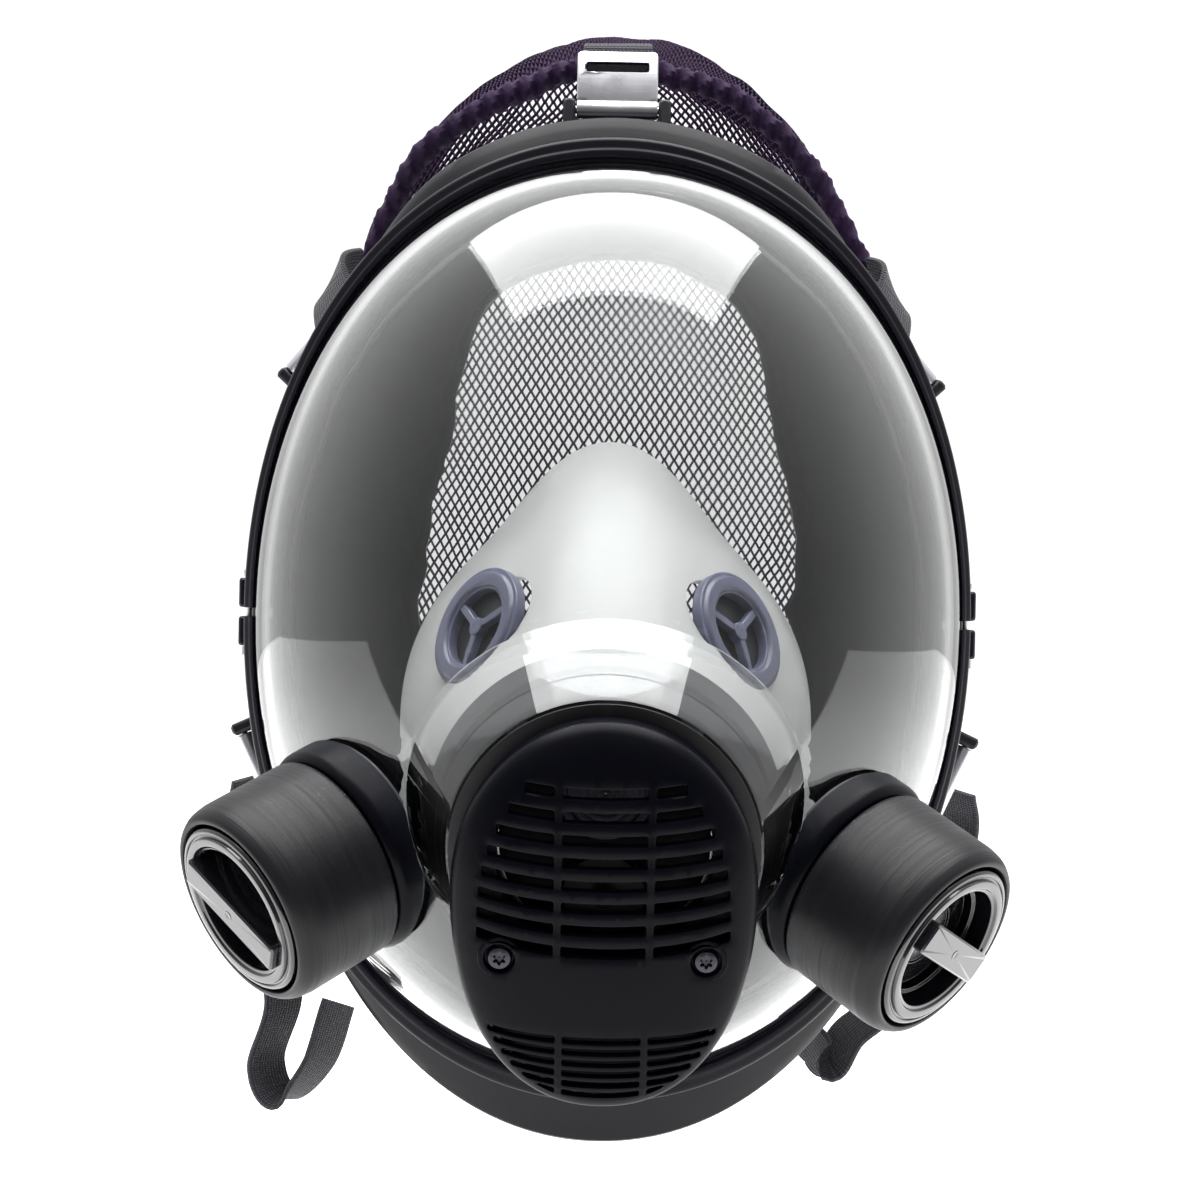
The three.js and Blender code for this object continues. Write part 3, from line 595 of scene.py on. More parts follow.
def lugs(form, name):
    inner = BUCKLE_WIDTH / 2 + GAP
    low, high, near, far = (-2.4, 2.4, -5, 2.4) if name == "top" else (-2.4, 9.5, -3.6, 2.4)
    for side in (-1, 1):
        a, b = sorted((side * inner, side * (inner + 3.2)))
        form.box((a, low, near), (b, high, far), ANCHORS[name], round_off=1.1)


def face_blank():
    t = BLANK_WALL
    section = rounded([
        (-9.2, -1.2), (-2.8, -1.2), (-2.8, 9.2), (-6.3, 9.2), (-6.3, 12.4), (-1.5, 14), (0, 18),
        (0, 32), (-3, 46), (-9, 56), (-18, 60), (-27, 56), (-31, 46),
        (-31 + t, 45.4), (-25.4, 53.2), (-18, 57), (-11, 53.4), (-5.4, 44.6), (-t, 32), (-t, 20),
        (-9.4, 15), (-14, 12), (-14, 2.5), (-12.6, 2.5), (-12.6, LENS_RIM + 0.5), (-9.2, LENS_RIM + 0.5),
    ], 6, steps=4)
    form = Form()
    rows = []
    around = 240
    for k in range(around):
        angle = TAU * k / around
        row = []
        for offset, y in section:
            x, z = oval(angle, offset + flare_at(angle, y) + wrinkle(angle, offset, y))
            row.append(swept(x, y + 0.8 * wrinkle(angle + 9, offset, y), z))
        rows.append(row)
    form.grid(rows, wrap_rows=True)
    for name in ANCHORS:
        lugs(form, name)
    piece(make("rubber_face_blank", form), "root", "rubber", "face_blank")


# ---------------------------------------------------------------- lens
def lens():
    around, along = 180, 54
    to_rim = 1 + 1 / LENS_STRAIGHT
    form = Form()
    levels = [(i, 0) for i in range(along + 1)] + [(i, -LENS_WALL) for i in range(along, -1, -1)]
    form.grid([[lens_point(TAU * k / around, to_rim * i / along, grow) for k in range(around)]
               for i, grow in levels])
    dome = make("clear_lens", form)
    boolean(dome, cone_tool(-BOSS_WALL, -60, -BOSS_WALL), "DIFFERENCE")
    slope = (BOSS_ROOT - BOSS_RIM) / BOSS_LENGTH
    outer = [(BOSS_RIM + slope * 60, -60), (BOSS_RIM, 0)]
    inner = [(BOSS_RIM - BOSS_WALL + slope * BOSS_WALL, -BOSS_WALL), (BOSS_RIM - BOSS_WALL + slope * 60, -60)]
    profile = [outer[0], (BOSS_RIM + slope * 1.2, -1.2), (BOSS_RIM - 0.05, -0.35), (BOSS_RIM - 0.9, 0),
               (BOSS_HOLE, 0), (BOSS_HOLE, -BOSS_WALL), inner[0], inner[1]]
    cone = make("boss", Form().revolve(profile, 144, BOSS))
    boolean(cone, behind_lens(-LENS_WALL), "DIFFERENCE")
    boolean(dome, cone, "UNION")
    for side in SIDES:
        boolean(dome, drum_tool(PORT_NECK + 0.4, -60, -20, PORTS[side]), "DIFFERENCE")
    piece(dome, "root", "clear", "visor")


# ---------------------------------------------------------------- turned pieces inside the boss
def boss_inside(y, grow=-0.5):
    return BOSS_RIM - (BOSS_ROOT - BOSS_RIM) / BOSS_LENGTH * y - BOSS_WALL + grow


def turned_piece(name, profile, place, body, slot, *stands_for, around=96, fillet=0.3, look=None):
    obj = make(name, Form().revolve(rounded(profile, fillet), around), place)
    return piece(obj, body, slot, *stands_for, look=look)


def egg(angle, inset=0.0):
    s, c = sin(angle), cos(angle)
    power = COVER["power"] if c < 0 else 2
    rho = (abs(s) ** power + abs(c) ** power) ** (-1 / power)
    height = (COVER["bottom"] if c < 0 else COVER["top"]) - inset
    return (COVER["half"] - inset) * rho * s, COVER["centre"] + height * rho * c


def egg_share(x, z):
    """0 at the middle of the egg outline, 1 on it."""
    dz = z - COVER["centre"]
    power, height = (COVER["power"], COVER["bottom"]) if dz < 0 else (2, COVER["top"])
    return ((abs(x) / COVER["half"]) ** power + (abs(dz) / height) ** power) ** (1 / power)


def egg_half_width(z):
    dz = z - COVER["centre"]
    power, height = (COVER["power"], COVER["bottom"]) if dz < 0 else (2, COVER["top"])
    return COVER["half"] * (1 - min(1, abs(dz) / height) ** power) ** (1 / power)


def spokes(form, outer, opening, hub, width, start, end, place=None):
    """A ring with a round opening crossed by three spokes that meet at a hub."""
    form.revolve(rounded([(opening, start), (outer, start), (outer, end), (opening, end)], 0.35), 72, place)
    middle = [(0.01, start + 0.2), (hub, start + 0.2), (hub, end - 0.1), (0.01, end - 0.1)]
    form.revolve(rounded(middle, 0.2), 24, place)
    for i in range(3):
        turn = Matrix.Rotation(TAU * i / 3 + pi, 4, "Y")
        where = (place @ turn) if place else turn
        form.box((-width / 2, start + 0.3, hub * 0.5), (width / 2, end - 0.3, opening + 0.6), where, 0.3)


def front_valves():
    bore, sleeve, thick, depth = SLEEVE_BORE, SLEEVE, 2.2, SLEEVE_DEPTH
    form = Form().revolve(rounded([(bore, -depth), (sleeve, -depth), (sleeve, 1.5), (bore, 1.5)], 0.4))
    rim = [egg(TAU * k / 96, COVER["wall"] + 0.5) for k in range(96)]
    hole = [(bore * sin(TAU * k / 96), bore * cos(TAU * k / 96)) for k in range(96)]
    levels = [(hole, 1), (rim, 1), (rim, 1 + thick), (hole, 1 + thick)]
    form.grid([[(x, y, z) for x, z in loop] for loop, y in levels], wrap_rows=True)
    piece(make("housing_shell", form, BOSS), "root", "cover_plastic", "valve_housing")
    black, at = "cover_plastic", -12.5
    threaded = sleeve + GAP
    seal = [(threaded, GAP), (BOSS_RIM - 0.6, GAP), (BOSS_RIM - 0.6, 0.7), (threaded, 0.7)]
    turned_piece("housing_seal", seal, BOSS, "root", "flap", "housing_gasket", fillet=0.15)
    nut = [(threaded, at), (boss_inside(at) - 1.6, at), (boss_inside(at), at + 1.6),
           (boss_inside(-5.6), -5.6), (boss_inside(-5.2) - 1.2, -5.2),
           (boss_inside(-2.7) - 1.2, -2.7), (threaded, -2.7)]
    turned_piece("housing_ring_nut", nut, BOSS, "root", black, "housing_nut", around=120)
    start = CUP["from"] + GAP
    back = [(threaded, -19.5), (CUP["neck"] - 3, -29), (CUP["neck"] - GAP, -29), (CUP["neck"] - GAP, start),
            (boss_inside(start), start), (boss_inside(at - 1.9), at - 1.9),
            (boss_inside(at - 1.5) - 1, at - 1.5), (boss_inside(at - GAP) - 1, at - GAP),
            (threaded, at - GAP)]
    turned_piece("cup_connector_ring", back, BOSS, "root", black, "cup_connector", around=120)
    level = 11
    plate_form = Form()
    rim_loop = [(22.3 * sin(TAU * k / 96), 22.3 * cos(TAU * k / 96)) for k in range(96)]
    holes = [[(8 * sin(TAU * k / 32), s * level + 8 * cos(TAU * k / 32)) for k in range(32)] for s in (1, -1)]
    sheet_with_holes(plate_form, rim_loop, holes, lambda x, z: -6.5, 2.5, 4, rim_round=0.3)
    piece(make("valve_carrier_plate", plate_form, BOSS), "root", black, "valve_plate")
    upper, lower = (BOSS @ Matrix.Translation((0, 0, s * level)) for s in (1, -1))
    waves = [(8.2 - i * 0.5, -5.2 + 0.12 * cos(i * pi / 1.5)) for i in range(17)]
    film = [(0.01, -5.7), (8.2, -5.7), (8.2, -6.2), (9.9, -6.2), (9.9, -4.4), (8.2, -4.4)] + waves
    # The film is coloured with the darkened steel, painted shade for its place behind the cover.
    turned_piece("speech_film", film, upper, "root", "steel", "speech_diaphragm", around=64, fillet=0.15,
                 look="steel_painted_shade")
    seat = Form()
    spokes(seat, 9.9, 7.6, 2.2, 1.6, -6.2, -4.4)
    stem = [(0.01, -5), (1.1, -5), (1.1, -1.9), (2.2, -1.9), (2.2, -1.2), (0.01, -1.2)]
    seat.revolve(rounded(stem, 0.2), 32)
    piece(make("exhalation_valve_seat", seat, lower), "root", black, "exhalation_seat")
    disc = [(1.4, -4.1), (8.8, -3.75), (8.8, -3.4), (1.4, -3.4)]
    turned_piece("exhalation_flap_disc", disc, lower, "exhalation_flap", "flap", "exhalation_disc",
                 around=64, fillet=0.1)


# ---------------------------------------------------------------- slotted cover
def inside_loop(x, z, loop):
    hit = False
    for i, (x0, z0) in enumerate(loop):
        x1, z1 = loop[i - 1]
        if (z0 > z) != (z1 > z) and x < (x1 - x0) * (z - z0) / (z1 - z0) + x0:
            hit = not hit
    return hit


def sheet_with_holes(form, rim, holes, depth_at, thick, pitch, fillet=0.0, edges=None, rim_round=0.0):
    """A curved sheet over the X-Z plane, cut through by holes with rounded edges.
    holes are loops of points; edges(loop number, grow) gives a loop that stands off its hole by grow.
    With rim_round the rim is closed by a rounded wall, and without it the rim is left to its maker."""
    grown = [edges(i, fillet) for i in range(len(holes))] if edges else holes
    points = [Vector(p) for p in rim]
    lines = [(k, (k + 1) % len(rim)) for k in range(len(rim))]
    loops = []
    for loop in grown:
        first = len(points)
        points += [Vector(p) for p in loop]
        loops.append(range(first, len(points)))
        lines += [(first + k, first + (k + 1) % len(loop)) for k in range(len(loop))]
    xs, zs = [p[0] for p in rim], [p[1] for p in rim]
    columns, rows = int((max(xs) - min(xs)) / pitch), int((max(zs) - min(zs)) / pitch)
    shrunk = [(lerp(sum(xs) / len(xs), x, 0.97), lerp(sum(zs) / len(zs), z, 0.97)) for x, z in rim]
    for i in range(1, columns):
        for j in range(1, rows):
            x = min(xs) + pitch * (i + 0.5 * (j % 2))
            z = min(zs) + pitch * j
            if not inside_loop(x, z, shrunk):
                continue
            if all(not inside_loop(x, z, loop) and min(hypot(x - p[0], z - p[1]) for p in loop) > pitch * 0.3
                   for loop in grown):
                points.append(Vector((x, z)))
    flat = delaunay_2d_cdt(points, lines, [], 0, 1e-5)
    triangles = []
    for face in flat[2]:
        x = sum(flat[0][k].x for k in face) / 3
        z = sum(flat[0][k].y for k in face) / 3
        if not any(inside_loop(x, z, loop) for loop in grown):
            triangles.append(face)
    for level in (0, -thick):
        start = len(form.points)
        form.points += [Vector((p.x, depth_at(p.x, p.y) + level, p.y)) for p in flat[0]]
        form.faces += [[start + k for k in face] for face in triangles]
    for i, hole in enumerate(holes):
        if fillet:
            middle = edges(i, fillet * 0.3)
            walls = [(grown[i], 0), (middle, -fillet * 0.3), (hole, -fillet), (hole, -thick),
                     (grown[i], -thick)]
        else:
            walls = [(hole, 0), (hole, -thick)]
        form.grid([[(x, depth_at(x, z) + level, z) for x, z in loop] for loop, level in walls])
    if rim_round:
        mid_x, mid_z = sum(xs) / len(xs), sum(zs) / len(zs)
        out_x, out_z = 1 + 2 * rim_round / (max(xs) - min(xs)), 1 + 2 * rim_round / (max(zs) - min(zs))
        wide = [(mid_x + (x - mid_x) * out_x, mid_z + (z - mid_z) * out_z) for x, z in rim]
        walls = [(rim, 0), (wide, -rim_round), (wide, rim_round - thick), (rim, -thick)]
        form.grid([[(x, depth_at(x, z) + level, z) for x, z in loop] for loop, level in walls])


def slot_rows():
    """Each slot as (left, right, height, curve): upper rows are deep, lower ones fine."""
    rows = []
    for k in range(8):
        z = 17.2 - 4.75 * k
        rows.append((z, egg_half_width(z) - 8 + 0.35 * k, 2.2, 1 + 0.4 * k, 9.6, 1.7))
    for k in range(6):
        z = -37.2 - 2.75 * k
        rows.append((z, egg_half_width(z) - 2.6, 1.5, 1.6, 9, 1.6))
    for z, half, height, sag, rib, width in rows:
        for a, b in ((-half, -rib - width / 2), (-rib + width / 2, rib - width / 2), (rib + width / 2, half)):
            if b - a > height:
                yield a, b, height, (z, half, sag)


def slot_loop(slot, grow):
    a, b, height, (z, half, sag) = slot
    corner = 0.45 + grow
    outline = []
    low, high = -height / 2 - grow, height / 2 + grow
    spans = [(b + grow - corner, high - corner, 0), (a - grow + corner, high - corner, 1),
             (a - grow + corner, low + corner, 2), (b + grow - corner, low + corner, 3)]
    steps = max(4, int((b - a) / 1.2))
    for i, (x, up, quarter) in enumerate(spans):
        for k in range(4):
            turn = (quarter + k / 3) * pi / 2
            outline.append((x + corner * cos(turn), up + corner * sin(turn)))
        if i in (0, 2):
            target = spans[i + 1][0]
            edge = high if i == 0 else low
            outline += [(lerp(x, target, k / steps), edge) for k in range(1, steps)]
    return [(x, up + z - sag * (1 - (x / half) ** 2) + sag / 2) for x, up in outline]


def cover_depth(x, z):
    s = min(1, egg_share(x, z))
    rise = COVER["depth"] - COVER["skirt"]
    return COVER["back"] + COVER["skirt"] + rise * sqrt(max(0, 1 - s ** 4))


def exhalation_cover():
    rim_share = 0.95
    around = 132

    def loop(share):
        return [(x * share, COVER["centre"] + (z - COVER["centre"]) * share)
                for x, z in (egg(TAU * k / around) for k in range(around))]
    slots = list(slot_rows())
    wells = [[(side * SCREW_ACROSS, SCREW_DOWN)] for side in (-1, 1)]

    def edges(i, grow):
        if i < len(slots):
            return slot_loop(slots[i], grow)
        x, z = wells[i - len(slots)][0]
        radius = 3.25 + grow
        return [(x + radius * cos(TAU * k / 32), z + radius * sin(TAU * k / 32)) for k in range(32)]
    holes = [edges(i, 0) for i in range(len(slots) + len(wells))]
    form = Form()
    sheet_with_holes(form, loop(rim_share), holes, cover_depth, COVER["wall"], 1.9, 0.4, edges)
    front = COVER["back"] + COVER["skirt"]
    shares = (rim_share, 0.965, 0.978, 0.988, 0.995, 0.999)
    rows = [[(x, cover_depth(x, z), z) for x, z in loop(s)] for s in shares]
    rows += [[(x, y, z) for x, z in loop(1)] for y in (front, COVER["back"] + 0.4)]
    rows += [[(x, COVER["back"], z) for x, z in loop(0.99)]]
    inner = [egg(TAU * k / around, COVER["wall"]) for k in range(around)]
    rows += [[(x, y, z) for x, z in inner] for y in (COVER["back"], front - 0.5)]
    rows += [[(x, cover_depth(x, z) - COVER["wall"], z) for x, z in loop(rim_share)]]
    form.grid(rows)
    for side in (-1, 1):
        place = Matrix.Translation((side * SCREW_ACROSS, 0, SCREW_DOWN))
        well = [(1.7, 7.4), (4.6, 7.4), (4.6, 10.4), (3.3, 10.4), (3.3, 8.9), (1.7, 8.9)]
        form.revolve(rounded(well, 0.3), 48, place)
    piece(make("slotted_cover", form, BOSS), "root", "cover_plastic", "exhalation_cover")
    for side in SIDES:
        sign = 1 if side == "left" else -1
        place = BOSS @ Matrix.Translation((sign * SCREW_ACROSS, 0, SCREW_DOWN))

        def star(turn, y):
            return 0.28 * cos(6 * turn) if y in (9.9, 10.78) else 0
        head = [(0.01, 3.2), (1.3, 3.2), (1.3, 9.2), (2.6, 9.2), (2.6, 10.1), (2.3, 10.6), (1.5, 10.8),
                (1.2, 10.78), (1.05, 9.9), (0.01, 9.9)]
        screw = make(f"cover_fixing_{side}", Form().revolve(head, 48, None, star), place)
        # The fixing screws are coloured with the darkened steel, painted shade for their deep wells.
        piece(screw, "root", "steel", f"cover_screw_{side}", look="steel_painted_shade")


# ---------------------------------------------------------------- side ports and plugs
def side_port(side):
    place = PORTS[side]
    split, past = 5 - PORT_LENGTH, -58
    neck = PORT_NECK
    tube = make(f"port_body_{side}", Form().revolve(rounded([
        (PORT_THROAT, past), (neck, past), (neck, split), (PORT_RADIUS - 0.7, split),
        (PORT_RADIUS, split + 0.8),
        (PORT_RADIUS, -5.4), (PORT_RADIUS - 0.5, -2.4), (PORT_RADIUS - 1.8, -0.4), (PORT_SOCKET + 0.25, -0.4),
        (PORT_SOCKET + 0.25, -SOCKET_DEPTH), (PORT_BORE, -SOCKET_DEPTH), (PORT_BORE, split + 4),
        (PORT_THROAT, split + 4),
    ], 0.9), 128, place))
    boolean(tube, behind_lens(-LENS_WALL - 6), "DIFFERENCE")
    tube = localised(tube, place)
    piece(tube, "root", "turned_plastic", f"port_tube_{side}")
    inner = neck + GAP
    collar = make(f"port_shoulder_{side}", Form().revolve(rounded([
        (inner, past), (PORT_COLLAR, past), (PORT_COLLAR, split - 2.4), (PORT_COLLAR - 1.2, split - GAP),
        (inner, split - GAP)], 0.8), 128, place))
    boolean(collar, behind_lens(1.6), "DIFFERENCE")
    boolean(collar, cone_tool(GAP, -50, 0), "DIFFERENCE")
    piece(collar, "root", "gloss_plastic", f"port_collar_{side}", look="cover_plastic")
    gasket = make(f"port_seal_{side}", Form().revolve([
        (inner, past), (PORT_COLLAR - 0.8, past), (PORT_COLLAR - 0.8, -20), (inner, -20)], 128, place))
    boolean(gasket, behind_lens(1.6 - GAP), "INTERSECT")
    boolean(gasket, behind_lens(GAP), "DIFFERENCE")
    boolean(gasket, cone_tool(GAP, -50, 0), "DIFFERENCE")
    piece(gasket, "root", "flap", f"port_gasket_{side}")
    ring = [(inner, past), (15, past), (15, -30), (inner, -30)]
    nut = make(f"port_ring_nut_{side}", Form().revolve(ring, 96, place))
    boolean(nut, behind_lens(-LENS_WALL - GAP), "INTERSECT")
    boolean(nut, behind_lens(-LENS_WALL - 5), "DIFFERENCE")
    piece(nut, "root", "cover_plastic", f"port_nut_{side}")
    seat = Form()
    spokes(seat, PORT_BORE - GAP, 11.8, 2.4, 2, -20, -18)
    piece(make(f"port_seat_{side}", seat, place), "root", "valve_plastic", f"port_valve_seat_{side}")
    disc = [(0.01, -21.1), (12.6, -20.9), (12.6, -20.3), (0.01, -20.3)]
    turned_piece(f"port_flap_disc_{side}", disc, place, f"port_flap_{side}", "flap",
                 f"port_valve_disc_{side}", around=64, fillet=0.1)
    seal = [(15, -11.7), (PLUG_SKIRT, -11.7), (PLUG_SKIRT, -10.7), (15, -10.7)]
    turned_piece(f"plug_seal_{side}", seal, place, f"plug_carrier_{side}", "flap",
                 f"plug_gasket_{side}", fillet=0.4)
    screw_plug(side, place)


def localised(obj, place):
    """Puts the mesh in the place's own coordinates, so that textures follow the place."""
    metres = place.copy()
    metres.translation = place.translation * MM
    obj.data.transform(metres.inverted())
    obj.matrix_world = metres
    bpy.context.view_layer.update()
    return obj


def screw_plug(side, place):
    """A flanged plug with a stepped rim, a deep recess and a flat finger bar across it."""
    skirt = [(PLUG_SKIRT - (0.5 if k % 2 else 0), -10.2 + 0.55 * k) for k in range(13)]
    profile = [(0.01, -8.5), (14, -8.5), (14, -10.4), (PLUG_SKIRT - 0.4, -10.4)] + skirt + [
        (PLUG_SKIRT, -3.2), (PLUG_FLANGE, -2.6), (PLUG_FLANGE, -0.4), (PLUG_FLANGE - 0.5, 0.1),
        (18.8, 0.2), (18.6, -0.25),
        (18.1, -0.25), (17.9, 0.75), (16.1, 0.75), (15.7, 0.2), (PLUG_RECESS, 0.1), (PLUG_RECESS - 0.5, -4.2),
        (PLUG_RECESS - 1.6, -4.4), (PLUG_RECESS - 1.7, -6.5), (8.4, -6.5), (8.3, -6.1), (7.6, -6.1),
        (7.5, -6.5), (0.01, -6.5)]
    form = Form().revolve(rounded(profile, 0.22), 128)
    half, reach = BAR_WIDTH / 2, PLUG_RECESS + 0.6
    turn = Matrix.Rotation(-radians(PLUG_TURN[side]), 4, "Y")
    form.box((-reach, -6.8, -half), (reach, 2.5, half), turn, round_off=0.7)
    dimple = [(0.01, 2.53), (0.75, 2.55), (0.95, 2.62), (1.15, 2.6), (1.2, 2.4), (0.01, 2.4)]
    form.revolve(rounded(dimple, 0.08), 32, turn)
    obj = make(f"screw_plug_{side}", form, place)
    piece(obj, f"plug_{side}", "gloss_plastic", f"plug_{side}")


# ---------------------------------------------------------------- nose cup
def cup_edge(angle):
    turn = abs(atan2(sin(angle), cos(angle))) * 180 / pi
    reach = CUP["side"] + CUP["tip"] * (exp(-((turn / 22) ** 2)) + exp(-(((180 - turn) / 40) ** 2)))
    side = sin(angle) ** 2
    return Vector((reach * sin(angle), -4 + 18 * side, -25 + reach * cos(angle)))


def cup_neck(angle, y):
    return BOSS @ Vector((-CUP["neck"] * sin(angle), y, CUP["neck"] * cos(angle)))


def cup_point(angle, v, thick):
    outward = BOSS.to_3x3() @ Vector((-sin(angle), 0, cos(angle)))
    neck_end = CUP["to"] - CUP["reach"] * sin(angle) ** 2
    share = 0.25
    if v <= share:
        return cup_neck(angle, lerp(CUP["from"], neck_end, v / share)) + outward * thick
    t = (v - share) / (1 - share)
    at = cup_neck(angle, neck_end).lerp(cup_edge(angle), t)
    return at + outward * (CUP["bulge"] * sin(pi * t) + thick)


def nose_cup():
    around, along = 160, 40
    form = Form()
    outside = [[cup_point(TAU * k / around, i / along, CUP["wall"]) for k in range(around)]
               for i in range(along + 1)]
    inside = [[cup_point(TAU * k / around, i / along, 0) for k in range(around)]
              for i in range(along, -1, -1)]
    rolled = [[cup_point(TAU * k / around, 1 + 0.012, CUP["wall"] / 2) for k in range(around)]]
    form.grid(outside + rolled + inside, wrap_rows=True)
    cup = make("silicone_nose_cup", form)
    for side in SIDES:
        boolean(cup, drum_tool(VALVE_RADIUS + GAP, -9, 9, CUP_VALVES[side]), "DIFFERENCE")
    piece(cup, "root", "silicone", "nose_cup")
    for side in SIDES:
        seat = Form()
        spokes(seat, VALVE_RADIUS, VALVE_OPENING, 2.2, 1.8, -1.5, 1.2)
        ridge = [(VALVE_OPENING + 0.4, 1.1), (VALVE_OPENING + 1, 2), (VALVE_RADIUS - 1.6, 2),
                 (VALVE_RADIUS - 0.8, 1.1)]
        seat.revolve(rounded(ridge, 0.4), 72)
        obj = make(f"cup_valve_ring_{side}", seat, CUP_VALVES[side])
        piece(obj, "root", "valve_plastic", f"cup_valve_seat_{side}")
        flap = [(0.01, -2.6), (VALVE_OPENING + 1.2, -2.4), (VALVE_OPENING + 1.2, -1.8), (0.01, -1.8)]
        turned_piece(f"cup_flap_disc_{side}", flap, CUP_VALVES[side], f"cup_flap_{side}", "flap",
                     f"cup_valve_disc_{side}", around=64, fillet=0.1)


# ---------------------------------------------------------------- head net
def net_reach(angle):
    return radians(NET_EDGE + NET_RISE * cos(angle))


def net_point(angle, v, shrink=0.0):
    reach = net_reach(angle) * v
    a, b, c = (half - shrink for half in NET_HALF)
    cx, cy, cz = NET_CENTRE
    flat = Vector((cx + a * sin(reach) * sin(angle), cy + b * cos(reach), cz + c * sin(reach) * cos(angle)))
    ripple = noise.noise(flat * 0.028) * 3.2 + noise.noise(flat * 0.085) * 1.5
    outward = Vector((flat.x - cx, flat.y - cy, flat.z - cz)).normalized()
    return flat + outward * (ripple * smooth(0, 0.5, v) - 1.6)


def head_net():
    pitch, cord = 2.9, 1.25
    form = Form()
    seen = {}
    count = int(230 / pitch)

    def corner(i, j):
        """A knot of the net, laid out on a plane and wrapped over the head along its radii."""
        if (i, j) not in seen:
            x, z = pitch * (i + j) / sqrt(2), pitch * (i - j) / sqrt(2)
            angle = atan2(x, z)
            v = hypot(x, z) / 100 / net_reach(angle)
            seen[i, j] = len(form.points) if v < 1 else None
            if v < 1:
                form.points.append(net_point(angle, v))
        return seen[i, j]
    for i in range(-count, count):
        for j in range(-count, count):
            face = [corner(i, j), corner(i + 1, j), corner(i + 1, j + 1), corner(i, j + 1)]
            if None not in face:
                form.faces.append(face)
    mesh = make("crown_net", form)
    wire = mesh.modifiers.new("cords", "WIREFRAME")
    wire.thickness = cord * MM
    wire.use_even_offset = False
    wire.use_boundary = True
    graph = bpy.context.evaluated_depsgraph_get()
    mesh.data = bpy.data.meshes.new_from_object(mesh.evaluated_get(graph))
    mesh.modifiers.clear()
    soften(mesh, 80)
    piece(mesh, "root", "net", "head_net")
    hem = Form()
    around, across = 900, 14
    rows = []
    for k in range(around):
        angle = TAU * k / around
        at = net_point(angle, 1.0)
        inwards = (net_point(angle, 0.97) - at).normalized()
        outward = (at - Vector(NET_CENTRE)).normalized()
        side = inwards.cross(outward).normalized()
        outward = side.cross(inwards).normalized()
        lump = 1 + 0.22 * noise.noise(Vector((sin(angle), cos(angle), 0)) * 5)
        row = []
        for i in range(across):
            turn = TAU * i / across
            twist = 3.1 * lump + 0.42 * sin(96 * angle + 3 * turn) + 0.18 * sin(211 * angle - 2 * turn)
            row.append(at + (inwards * cos(turn) + outward * sin(turn)) * twist)
        rows.append(row)
    hem.grid(rows, wrap_rows=True)
    rolled = make("net_hem", hem)
    piece(rolled, "root", "net")


# ---------------------------------------------------------------- straps and buckles
def curve_through(points, t):
    """Catmull-Rom curve through points, t from 0 to 1."""
    place = t * (len(points) - 1)
    i = min(int(place), len(points) - 2)
    u = place - i
    p1, p2 = points[i], points[i + 1]
    p0 = points[i - 1] if i else p1 * 2 - p2
    p3 = points[i + 2] if i + 2 < len(points) else p2 * 2 - p1
    return 0.5 * (2 * p1 + (p2 - p0) * u + (2 * p0 - 5 * p1 + 4 * p2 - p3) * u ** 2
                  + (3 * p1 - p0 - 3 * p2 + p3) * u ** 3)


def strap(name, points, width, across, steps=60):
    """A flat band along a curve, with its weave laid out along it; across(t) is the way its width lies."""
    form = Form()
    rows, length = [], 0
    section = rounded([(-width / 2, -STRAP_WALL / 2), (width / 2, -STRAP_WALL / 2),
                       (width / 2, STRAP_WALL / 2), (-width / 2, STRAP_WALL / 2)], 0.6)
    last = curve_through(points, 0)
    for i in range(steps + 1):
        t = i / steps
        at = curve_through(points, t)
        ahead, behind = curve_through(points, min(1, t + 0.004)), curve_through(points, max(0, t - 0.004))
        along = (ahead - behind).normalized()
        wide = across(t)
        wide = (wide - along * wide.dot(along)).normalized()
        normal = along.cross(wide)
        length += (at - last).length
        last = at
        for j, (a, b) in enumerate(section):
            form.uvs[i * len(section) + j] = ((a + (width if b > 0 else 0)) * MM, length * MM)
        rows.append([at + wide * a + normal * b for a, b in section])
    start = form.grid(rows)
    form.faces.append([start + k for k in range(len(section))])
    form.faces.append([start + steps * len(section) + k for k in range(len(section))])
    return make(name, form), length


def harness():
    middles = {"top": (0, [Vector((0, 42, 151.5))])}
    for side, sign in (("left", -1), ("right", 1)):
        middles[f"temple_{side}"] = (62 * sign, [Vector((80 * sign, 84, 93))])
        cheek = [Vector((96 * sign, 100, -44)), Vector((84 * sign, 132, -38))]
        middles[f"cheek_{side}"] = (128 * sign, cheek)
    for name, (turn, middle) in middles.items():
        place = ANCHORS[name]
        width_way = place.to_3x3() @ Vector((1, 0, 0))
        hem = net_point(radians(turn), 1)
        hem_way = (net_point(radians(turn + 6), 1) - net_point(radians(turn - 6), 1)).normalized()
        if hem_way.dot(width_way) < 0:
            hem_way = -hem_way
        looped = [place @ Vector(p) for p in ((0, 0.1, 11.6), (0, 1.7, 13.6), (0, 2.1, 18.5))]
        end = hem.lerp(middle[-1], 2 / (hem - middle[-1]).length)
        band, _ = strap(f"{name}_webbing", looped + middle + [end], 18, lambda t: width_way.lerp(hem_way, t))
        part, _, side = name.partition("_")
        piece(band, None, "webbing", f"{part}_strap_{side}" if side else "top_strap")
        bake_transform(band)
    tails = {
        "left": ((-97.6, 63, -46), (-99, 66, -58), (-94, 60, -84), (-86, 52, -104), (-90, 50, -122),
                 (-85, 48, -131), (-76, 50, -122), (-71, 53, -106)),
        "right": ((97.6, 63, -46), (99, 66, -58), (93, 66, -84), (80, 64, -104), (69, 64, -114),
                  (64, 64, -122), (60, 68, -118), (57, 72, -114)),
    }
    for side, sign in (("left", 1), ("right", -1)):
        points = [Vector(p) for p in tails[side]]
        band, _ = strap(f"{side}_tail_webbing", points, 14, lambda t: Vector((0.55 * sign, 0.8, 0.1)), 90)
        piece(band, "root", "webbing", f"strap_tail_{side}")


